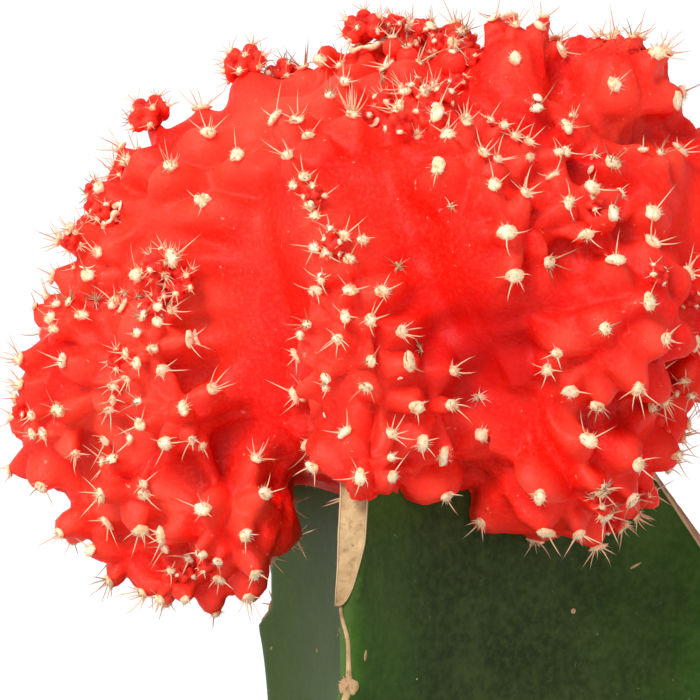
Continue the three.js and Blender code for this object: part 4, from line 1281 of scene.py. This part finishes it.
# Green stock: a stem with three thin wings, cut flat on top and slanting at each wing
stock = {
    "base": stockBox[0].z / mm,
    "top": 147.5,
    "radius": 26.7,
    "face": 9.5,
    "edgeHalf": 0.98,
    "swell": 1.78,
    "notch": 130,
    "pitch": 27,
    "lobe": 2.2,
    "rise": 0.07,
    "fade": 12,
    "level": 0.6,  # height from ring to ring
    "shares": 14,
    "wave": 0.22,  # how uneven the faces are
    "scars": 46,
}
wings = [
    {"bearing": -22, "cutFrom": 136.9, "slope": 0.155, "lift": 0, "bevel": 0},
    {"bearing": 98, "cutFrom": 140.2, "slope": 0.98, "lift": -5, "bevel": 0.55},
    {"bearing": 221, "cutFrom": 140, "slope": 0.556, "lift": 2, "bevel": 0},
]
greenFlesh = {
    "dark": (0.015, 0.024, 0.006),
    "body": (0.028, 0.078, 0.007),
    "bloom": (0.105, 0.160, 0.040),
    "litSide": (0.080, 0.135, 0.036),
    "speck": (0.18, 0.20, 0.10),
    "roughness": 0.5,
    "shine": 0.08,
    "glow": 0.08,
    "reach": (0.5, 1.2, 0.3),
}
corkColours = {
    "body": (0.33, 0.20, 0.09),
    "pale": (0.54, 0.37, 0.19),
    "dark": (0.09, 0.04, 0.018),
    "rim": (0.62, 0.42, 0.26),
}


def makeGreenFlesh():
    material, tree, shader = newMaterial("green_flesh")
    base = ramp(tree, noise(tree, 60, 4), [(0.3, greenFlesh["dark"]), (0.55, greenFlesh["body"])])
    # painted shade: darker towards the middle of each hollow face
    base = layer(tree, base, number(tree, "hollow"), 0.1, 0.7, 0.85, greenFlesh["dark"])
    base = layer(tree, base, noise(tree, 150, 5, 0.6), 0.45, 0.8, 0.25, greenFlesh["bloom"])
    # painted light: paler on the faces towards the key light, less so just under the head
    base = layer(tree, base, number(tree, "paintedSideLight"), 0, 1, 0.75, greenFlesh["litSide"])
    base = layer(tree, base, noise(tree, 1300, 4, 0.7), 0.4, 0.75, 0.3, greenFlesh["bloom"])
    base = layer(tree, base, noise(tree, 1500, 2), 0.72, 0.78, 0.5, greenFlesh["speck"])
    paint(tree, shader, base, *(greenFlesh[key] for key in ("roughness", "shine", "glow", "reach")))
    first = bump(tree, shader, noise(tree, 260, 4), 0.25, 0.2)
    bump(tree, shader, noise(tree, 2600, 3), 0.3, 0.05, first)
    return material


def makeCork():
    material, tree, shader = newMaterial("dried_cork")
    dark = corkColours["dark"]
    base = ramp(tree, noise(tree, 420, 5, 0.6), [(0.3, corkColours["body"]), (0.65, corkColours["pale"])])
    streak = ramp(tree, noise(tree, 1300, 4, 0.7), [(0.3, grey(0.5)), (0.48, grey(0))])
    base = mix(tree, streak, base, dark)
    rim = number(tree, "rim")
    base = mix(tree, ramp(tree, rim, [(0.3, grey(0)), (0.45, grey(0.7)), (0.6, grey(0))]), base, dark)
    base = layer(tree, base, rim, 0.6, 0.8, 0.8, corkColours["rim"])
    paint(tree, shader, base, 0.85, 0.2)
    inputs = {"Vector": objectPlace(tree), "Scale": 700.0}
    cracks = put(tree, "ShaderNodeTexVoronoi", inputs, feature="DISTANCE_TO_EDGE").outputs["Distance"]
    first = bump(tree, shader, cracks, 0.35, 0.15)
    bump(tree, shader, noise(tree, 2200, 4, 0.7), 0.5, 0.08, first)
    return material


greenSkin = makeGreenFlesh()
cork = makeCork()


def grownReach(z):
    fall = (stock["notch"] - z) / stock["pitch"]
    along = fall - np.floor(fall)
    rise = stock["rise"]
    tooth = np.where(along > rise, 1 - np.exp(-4 * (along - rise) / (1 - rise)), 1 - along / rise)
    return stock["radius"] - stock["lobe"] * tooth


def wingReach(wing, z, side=0):
    # how far a wing reaches at a level, and how much of its edge there is cut; the bevel lowers one side
    above = z - wing["cutFrom"] - side * wing["bevel"]
    cut = grownReach(wing["cutFrom"]) - wing["slope"] * np.maximum(above, 0)
    reach = np.where(above > 0, np.minimum(grownReach(z), cut), grownReach(z))
    return reach, np.clip(above / 1.2, 0, 1)


def halfThickness(along):
    faceAlong = stock["face"] / 2
    faceHalf = stock["face"] * math.sin(math.pi / 3)
    share = np.clip((stock["radius"] - along) / (stock["radius"] - faceAlong), 0, None)
    return stock["edgeHalf"] + (faceHalf - stock["edgeHalf"]) * share ** stock["swell"]


def wingLift(wing, z):
    fade = np.clip(np.minimum(stock["top"] - z, z - stock["base"]) / stock["fade"], 0, 1)
    return wing["lift"] * fade


def inWing(wing, along, aside, z):
    turn = math.radians(wing["bearing"] - 90)
    x = along * math.cos(turn) - aside * math.sin(turn)
    y = along * math.sin(turn) + aside * math.cos(turn)
    return np.stack([x, y, z], -1)


def buildStock():
    levels = np.arange(stock["base"], stock["top"], stock["level"])
    levels = np.append(levels, stock["top"])
    shares = np.concatenate([np.linspace(0, 0.9, stock["shares"]) ** 0.9, [0.95, 0.98, 1]])[1:]
    rows, hollows, paintedSideLight = [], [], []
    for k, wing in enumerate(wings):
        lift = wingLift(wing, levels)
        right, left = [], []
        for share in shares:
            for side, found in ((-1, right), (1, left)):
                reach, isCut = wingReach(wing, levels, side)
                along = stock["face"] / 2 + (reach - stock["face"] / 2) * share
                blunt = math.sqrt(1 - 0.85 * max(0, (share - 0.95) / 0.05) ** 2)
                half = halfThickness(along) * (blunt + (1 - blunt) * isCut)
                found.append(inWing(wing, along, side * half, levels + lift * share))
        middle = math.radians(wing["bearing"] - 30)
        hollow = stock["face"] * np.array([math.cos(middle), math.sin(middle)]) + 0 * levels[:, None]
        rows += right + left[::-1] + [np.concatenate([hollow, levels[:, None]], 1)]
        hollows += list(1 - shares) + list(1 - shares[::-1]) + [1]
        paintedSideLight += [float(k == 0)] * len(shares) + [float(k == 2)] * (len(shares) + 1)
    points = np.stack(rows, 1).reshape(-1, 3)
    hollow = np.tile(hollows, len(levels))
    out = unit(points * [1, 1, 0])
    uneven = stock["wave"] * ripple(points, 17, 40) + 0.05 * ripple(points, 4, 50)
    points = points + out * (uneven * np.clip(hollow * 6, 0, 1))[:, None]
    faces = closedTube(len(levels), len(rows))
    # painted light on the faces towards the key light, fading just under the head where it lies in shade
    low = 0.55 + 0.45 * np.clip((stock["top"] - 8 - points[:, 2]) / 14, 0, 1)
    numbers = {"hollow": hollow, "paintedSideLight": np.tile(paintedSideLight, len(levels)) * low}
    piece = makePiece("stock_skin", points, faces, greenSkin, numbers=numbers)
    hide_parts("rootstock")
    return BVHTree.FromPolygons(points.tolist(), faces)


def closedSheet(top, under):
    # a thin closed plate between two grids of points
    rows, columns = top.shape[:2]
    points = np.concatenate([top.reshape(-1, 3), under.reshape(-1, 3)])
    half = rows * columns
    faces = []
    for i in range(rows - 1):
        for j in range(columns - 1):
            a = i * columns + j
            faces.append([a, a + 1, a + columns + 1, a + columns])
            faces.append([half + a, half + a + columns, half + a + columns + 1, half + a + 1])
    border = [(0, j) for j in range(columns)] + [(i, columns - 1) for i in range(1, rows)]
    border += [(rows - 1, j) for j in range(columns - 2, -1, -1)] + [(i, 0) for i in range(rows - 2, 0, -1)]
    ring = [i * columns + j for i, j in border]
    for a, b in zip(ring, ring[1:] + ring[:1]):
        faces.append([b, a, half + a, half + b])
    return points, faces


def buildCuts():
    # dried tan skin on the slanting cuts, which end in a blade at one side of the wing
    gathered = Gathered()
    for k, wing in enumerate(wings):
        levels = np.linspace(wing["cutFrom"], stock["top"], 90)
        across = np.linspace(-1, 1, 17)
        reach, _ = wingReach(wing, levels)
        half = halfThickness(reach) + 0.03
        blade = np.clip((levels - levels[0] + 0.01) / 5.2, 0, 1) ** 0.38
        z = (levels + wingLift(wing, levels))[:, None] + 0 * across
        aside = half[:, None] * (-1 + (across + 1) * blade[:, None])
        along = np.stack([wingReach(wing, levels, side)[0] for side in -1 + (across + 1) * blade.mean()], 1)
        flat = inWing(wing, along, aside, z)
        curl = 0.14 * np.abs(across) ** 8
        rise = 0.17 + curl + 0.06 * ripple(flat, 3.1, 60 + k) + 0.03 * ripple(flat, 1.1, 70 + k)
        pit = np.hypot(aside - 0.1, (z - 142.0) * 0.8) if k == 0 else 9 + 0 * z
        rise = rise - 0.25 * np.exp(-(pit / 0.18) ** 2)
        top = inWing(wing, along + rise, aside, z)
        under = inWing(wing, along - 0.35, aside * 0.96, z)
        points, faces = closedSheet(top, under)
        rim = np.abs(across) ** 8 + 0.45 * np.exp(-(pit / 0.25) ** 2)
        gathered.add(points, faces, np.concatenate([rim.reshape(-1), np.zeros(rim.size)]))
    return gathered


def buildMargins():
    # the horny line along each wing's edge
    gathered = Gathered()
    for k, wing in enumerate(wings):
        tip = wing["cutFrom"]
        levels = np.arange(stock["base"] + 4, tip + 0.3, 0.5)
        reach, _ = wingReach(wing, levels)
        z = levels + wingLift(wing, levels)
        turn = np.clip((levels - tip + 3.4) / 3.4, 0, 1)
        side = -0.75 * stock["edgeHalf"] * turn ** 2 * (3 - 2 * turn)
        wave = 0.16 * ripple(np.stack([levels, levels * 0, levels * 0], -1), 9, 80 + k)
        path = inWing(wing, reach - 0.02, side + wave, z)
        fall = (stock["notch"] - levels) / stock["pitch"]
        near = np.exp(-((fall - np.round(fall)) * stock["pitch"] / 1.8) ** 2)
        size = 0.20 + 0.05 * ripple(path, 5, 90 + k) + 0.16 * near
        tubeAlong(gathered, path, size, 8)
    return gathered


def tubeAlong(gathered, path, size, sides):
    points = []
    for place, ahead, radius in zip(path, unit(np.gradient(path, axis=0)), size):
        points += ringAround(place, radius, *sideways(ahead), sides)
    gathered.add(points, closedTube(len(path), sides))


def buildStockAreoles():
    # a woolly lump with a few short spines in each notch
    pads, spines = Gathered(), Gathered()
    ball, faces = finestBall
    for k, wing in enumerate(wings):
        for step in range(3):
            level = np.array([stock["notch"] - step * stock["pitch"]])
            if level[0] < soilBox[1].z / mm + 2:
                continue
            seed = 600 + 31 * k + 7 * step
            reach, _ = wingReach(wing, level)
            place = inWing(wing, reach, 0 * reach, level + wingLift(wing, level))[0]
            normal = unit(unit(place * [1, 1, 0]) + [0, 0, 0.35])
            side, rear = sideways(normal)
            lump = 1 + 0.10 * ripple(ball + seed, 1.1, seed) + 0.05 * ripple(ball + seed, 0.4, seed + 3)
            shape = ball[:, :1] * side * 0.95 + ball[:, 1:2] * rear * 1.15 + ball[:, 2:] * normal * 0.6
            pads.add(place + shape * lump[:, None] * 0.9, faces)
            for n in range(3):
                lean = unit(normal + 0.7 * (spread(seed + n) * side + spread(seed + 9 + n) * rear))
                length = 1.7 + 0.5 * chance(seed + 5 * n)
                thread(spines, place + 0.3 * normal, lean, length, 0.13, 0.03, np.zeros(3), 5)
    return pads, spines


# Pale scars on the faces: the first ones are as seen from the front, as (across, up, length, width, turn)
seenScars = [(-7.7, -35.6, 1.0, 0.35, 80), (16.6, -27.5, 1.3, 0.25, 25), (11.0, -31.6, 0.55, 0.5, 0)]


def buildScars(stockSkin):
    gathered = Gathered()
    ball, faces = smallBall
    marks = []
    for across, up, length, width, turn in seenScars:
        place, normal, _, _ = stockSkin.ray_cast(Vector(eye), Vector(fromEye(across, up)))
        marks.append((place, normal, length, width, math.radians(turn)))
    for k in range(stock["scars"]):
        seed = 900 + 13 * k
        bearing = 2 * math.pi * chance(seed)
        start = np.array([60 * math.sin(bearing), -60 * math.cos(bearing), 76 + 60 * chance(seed + 1)])
        inward = unit(-start * [1, 1, 0] + np.array([0, 0, 8 * spread(seed + 2)]))
        place, normal, _, _ = stockSkin.ray_cast(Vector(start), Vector(inward))
        size = 0.16 + 0.3 * chance(seed + 3) ** 3
        marks.append((place, normal, size * (1 + chance(seed + 4)), size, math.pi * chance(seed + 5)))
    for place, normal, length, width, turn in [mark for mark in marks if mark[0] is not None]:
        place, normal = np.array(place), np.array(normal)
        first, second = sideways(normal)
        longer, wider = around(turn, first, second), around(turn, second, -first)
        flat = place + ball[:, :1] * longer * length / 2 + ball[:, 1:2] * wider * width / 2
        gathered.add(flat + ball[:, 2:] * normal * 0.05, faces)
    return gathered


def addStock():
    stockSkin = buildStock()
    buildCuts().build("cut_faces", cork, "cork", marks=("rim",))
    buildMargins().build("wing_margins", cork, "cork", marks=("rim",))
    pads, spines = buildStockAreoles()
    pads.build("stock_areoles", cork, "cork", marks=("rim",))
    spines.build("stock_spines", strawSpine, "spines")
    buildScars(stockSkin).build("stock_scars", cork, "cork", marks=("rim",))


addStock()
print("stock built")


# Potting soil: a crumbly top with bark and a few white grains
soil = {
    "top": 70,
    "lump": 0.5,
    "rim": soilBox[1].x / mm,
    "low": soilBox[0].z / mm,
    "foot": 30.5,  # radius at the bottom of the pot
    "rings": 70,
    "sides": 150,
    "grains": 1500,
}


def makeSoil(name, dark, pale):
    material, tree, shader = newMaterial(name)
    base = ramp(tree, noise(tree, 520, 5, 0.7), [(0.3, dark), (0.7, pale)])
    paint(tree, shader, base, 0.95, 0.15)
    first = bump(tree, shader, noise(tree, 900, 5, 0.7), 0.6, 0.4)
    bump(tree, shader, noise(tree, 4000, 3, 0.7), 0.5, 0.08, first)
    return material


def soilHeight(x, y):
    wave = np.sin(x * 0.31 + 1) * np.cos(y * 0.27) + np.sin(x * 0.9 - y * 0.7)
    points = np.stack([x, y, 0 * x], -1)
    level = soil["top"] + wave * soil["lump"]
    return level + 0.35 * ripple(points, 5, 110) + 0.22 * ripple(points, 1.9, 120)


def buildSoil(material):
    sides, rings = soil["sides"], soil["rings"]
    turns = np.arange(sides) * 2 * math.pi / sides
    points = [[0, 0, soilHeight(np.zeros(1), np.zeros(1))[0]]]
    for ring in range(1, rings + 1):
        reach = soil["rim"] * (ring / rings) ** 0.85
        x, y = reach * np.sin(turns), reach * np.cos(turns)
        z = soil["top"] + (soilHeight(x, y) - soil["top"]) * (ring < rings)
        points += np.stack([x, y, z], -1).tolist()
    x, y = soil["foot"] * np.sin(turns), soil["foot"] * np.cos(turns)
    points += np.stack([x, y, 0 * x + soil["low"]], -1).tolist()
    faces = [[0, 1 + (s + 1) % sides, 1 + s] for s in range(sides)] + bands(rings + 1, sides, 1)
    faces.append([1 + rings * sides + s for s in range(sides)])
    piece = makePiece("soil_body", points, faces, material)
    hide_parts("soil")


def addGrains(crumb):
    # loose bits of three kinds, as (name, material, size)
    bark = makeSoil("bark", (0.06, 0.028, 0.012), (0.19, 0.10, 0.05))
    perlite = makeSoil("perlite", (0.55, 0.53, 0.48), (0.86, 0.84, 0.80))
    kinds = [("crumbs", crumb, 1.0), ("bark_bits", bark, 1.5), ("white_grains", perlite, 0.9)]
    gathered = [Gathered() for _ in kinds]
    ball, faces = tinyBall
    for k in range(soil["grains"]):
        seed = 2000 + 11 * k
        reach = (soil["rim"] - 1.3) * math.sqrt(chance(seed))
        turn = 2 * math.pi * chance(seed + 1)
        x, y = reach * math.sin(turn), reach * math.cos(turn)
        draw = chance(seed + 2)
        kind = 0 if draw < 0.62 else 1 if draw < 0.93 else 2
        size = kinds[kind][2] * (0.35 + 0.75 * chance(seed + 3) ** 2)
        lump = 1 + 0.35 * ripple(ball + seed, 1.4, seed)
        stretch = np.array([1 + 0.6 * chance(seed + 4), 1, 0.55 + 0.4 * chance(seed + 5)])
        about = 2 * math.pi * chance(seed + 6)
        wide, deep, high = (ball * lump[:, None] * stretch * size).T
        turned = np.stack([wide * math.cos(about) - deep * math.sin(about),
                           wide * math.sin(about) + deep * math.cos(about), high], -1)
        z = soilHeight(np.array([x]), np.array([y]))[0] + 0.25 * size
        gathered[kind].add(turned + [x, y, z], faces)
    for grains, (name, material, _) in zip(gathered, kinds):
        grains.build(name, material, "potting_soil", smooth=False)


crumb = makeSoil("dark_crumb", (0.012, 0.008, 0.005), (0.055, 0.034, 0.020))
buildSoil(crumb)
addGrains(crumb)
print("soil built")


# Clay pot, turned on a wheel
pot = {
    "height": potBox[1].z / mm,
    "rim": potBox[1].x / mm,
    "rimHeight": 15,
    "rimStep": 2.8,
    "foot": 32,
    "wall": 4.2,
    "floor": 6,
    "drain": 6,
    "edge": 1.3,
    "sides": 160,
}
clayColours = {
    "deep": (0.30, 0.095, 0.045),
    "body": (0.46, 0.175, 0.085),
    "pale": (0.62, 0.34, 0.22),
    "lime": (0.72, 0.60, 0.50),
}


def makeClay():
    material, tree, shader = newMaterial("fired_clay")
    base = ramp(tree, noise(tree, 38, 5, 0.6), [(0.3, clayColours["body"]), (0.7, clayColours["pale"])])
    grit = ramp(tree, noise(tree, 1500, 3, 0.7), [(0.35, grey(0.5)), (0.5, grey(0))])
    base = mix(tree, grit, base, clayColours["deep"])
    base = layer(tree, base, noise(tree, 70, 6, 0.75), 0.56, 0.75, 0.55, clayColours["lime"])
    paint(tree, shader, base, 0.9, 0.2)
    inputs = {"Vector": objectPlace(tree), "Scale": (6.0, 6.0, 900.0)}
    drawn = put(tree, "ShaderNodeMapping", inputs).outputs["Vector"]
    first = bump(tree, shader, noise(tree, 1, 3, 0.6, drawn), 0.35, 0.25)
    bump(tree, shader, noise(tree, 2400, 4, 0.7), 0.45, 0.08, first)
    return material


def rounded(corners, radius, steps=4):
    # an outline with each corner rounded off
    points = []
    for i, corner in enumerate(corners):
        before, after = np.array(corners[i - 1]), np.array(corners[(i + 1) % len(corners)])
        here = np.array(corner)
        cut = min(radius, np.linalg.norm(before - here) * 0.45, np.linalg.norm(after - here) * 0.45)
        first, last = here + unit(before - here) * cut, here + unit(after - here) * cut
        for t in np.linspace(0, 1, steps):
            points.append((1 - t) ** 2 * first + 2 * t * (1 - t) * here + t * t * last)
    return points


def buildPot():
    neck = pot["height"] - pot["rimHeight"]
    inner = pot["rim"] - pot["wall"]
    slope = (pot["rim"] - pot["rimStep"] - pot["foot"]) / neck
    innerFoot = pot["foot"] + slope * pot["floor"] - pot["wall"]
    corners = [
        (pot["drain"], 0), (pot["foot"], 0), (pot["rim"] - pot["rimStep"], neck), (pot["rim"], neck + 0.6),
        (pot["rim"], pot["height"]), (inner, pot["height"]), (innerFoot, pot["floor"]),
        (pot["drain"], pot["floor"]),
    ]
    outline = rounded(corners, pot["edge"])
    dense = []
    for i, here in enumerate(outline):
        after = outline[(i + 1) % len(outline)]
        parts = max(1, int(np.linalg.norm(after - here) / 1.6))
        dense += [here + (after - here) * t / parts for t in range(parts)]
    dense = np.array(dense)
    turns = np.arange(pot["sides"]) * 2 * math.pi / pot["sides"]
    reach = dense[:, 0][:, None] + 0 * turns
    height = dense[:, 1][:, None] + 0 * turns
    points = np.stack([reach * np.sin(turns), reach * np.cos(turns), height], -1)
    outside = ((dense[:, 0] > dense[:, 1] * slope + pot["foot"] - 1) & (dense[:, 1] > 2))[:, None]
    lines = 0.05 * np.sin(height * 2.1 + 2 * np.sin(turns)) + 0.05 * ripple(points, 23, 130)
    points = points - unit(points * [1, 1, 0]) * (0.06 + lines * outside)[..., None]
    faces = [face[::-1] for face in bands(len(dense), pot["sides"], isLoop=True)]
    piece = makePiece("clay_pot", points.reshape(-1, 3), faces, makeClay())
    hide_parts("pot")


buildPot()
print("pot built")


# Light and floor: a white room whose ceiling is darker, and a soft key light from the upper left
studio = {
    "white": 1.05,
    "left": 0.72,  # brightness of the ceiling at the left and the right, as a share of the walls'
    "right": 0.34,
    "band": 0.12,  # how high the walls reach, as the sine of the angle
    "key": (-0.5, -0.8, 0.78),  # where the key light comes from
    "keyStrength": 3.0,
    "keyAngle": 25,
    "table": 0.78,  # brightness of the floor near the pot
    "tableEdge": (0.25, 0.9),  # distances at which the white begins and is reached, in metres
}


def addLights():
    world = bpy.data.worlds.new("studio")
    bpy.context.scene.world = world
    world.use_nodes = True
    tree = world.node_tree
    direction = put(tree, "ShaderNodeTexCoord").outputs["Generated"]
    split = put(tree, "ShaderNodeSeparateXYZ", {"Vector": direction})
    inputs = {"Value": split.outputs["X"], "From Min": -0.8, "From Max": 0.8,
              "To Min": studio["left"], "To Max": studio["right"]}
    dome = put(tree, "ShaderNodeMapRange", inputs).outputs["Result"]
    high = ramp(tree, split.outputs["Z"], [(studio["band"], grey(0)), (2 * studio["band"], grey(1))])
    tone = mix(tree, high, grey(1), dome)
    tree.links.new(tone, tree.nodes["Background"].inputs["Color"])
    tree.nodes["Background"].inputs["Strength"].default_value = studio["white"]
    data = bpy.data.lights.new("key", "SUN")
    data.energy = studio["keyStrength"]
    data.angle = math.radians(studio["keyAngle"])
    lamp = bpy.data.objects.new("key", data)
    lamp.location = studio["key"]
    lamp.rotation_euler = (-Vector(studio["key"])).to_track_quat("-Z", "Y").to_euler()
    bpy.context.scene.collection.objects.link(lamp)


def addFloor():
    mesh = bpy.data.meshes.new("floor")
    half = 6
    corners = [(-half, -half, 0), (half, -half, 0), (half, half, 0), (-half, half, 0)]
    mesh.from_pydata(corners, [], [(0, 1, 2, 3)])
    material, tree, shader = newMaterial("pale_floor")
    tone = ramp(tree, noise(tree, 3, 2), [(0.3, grey(0.94)), (0.7, grey(0.97))])
    away = put(tree, "ShaderNodeVectorMath", {0: objectPlace(tree)}, operation="LENGTH").outputs["Value"]
    first, last = studio["tableEdge"]
    inputs = {"Value": away, "From Min": first, "From Max": last, "To Min": 1.0, "To Max": 0.0}
    near = put(tree, "ShaderNodeMapRange", inputs).outputs["Result"]
    paint(tree, shader, mix(tree, near, tone, grey(studio["table"])), 0.8)
    mesh.materials.append(material)
    floor = bpy.data.objects.new("floor", mesh)
    bpy.context.scene.collection.objects.link(floor)


addLights()
addFloor()
bpy.context.scene.view_settings.view_transform = "Standard"

bpy.context.view_layer.update()
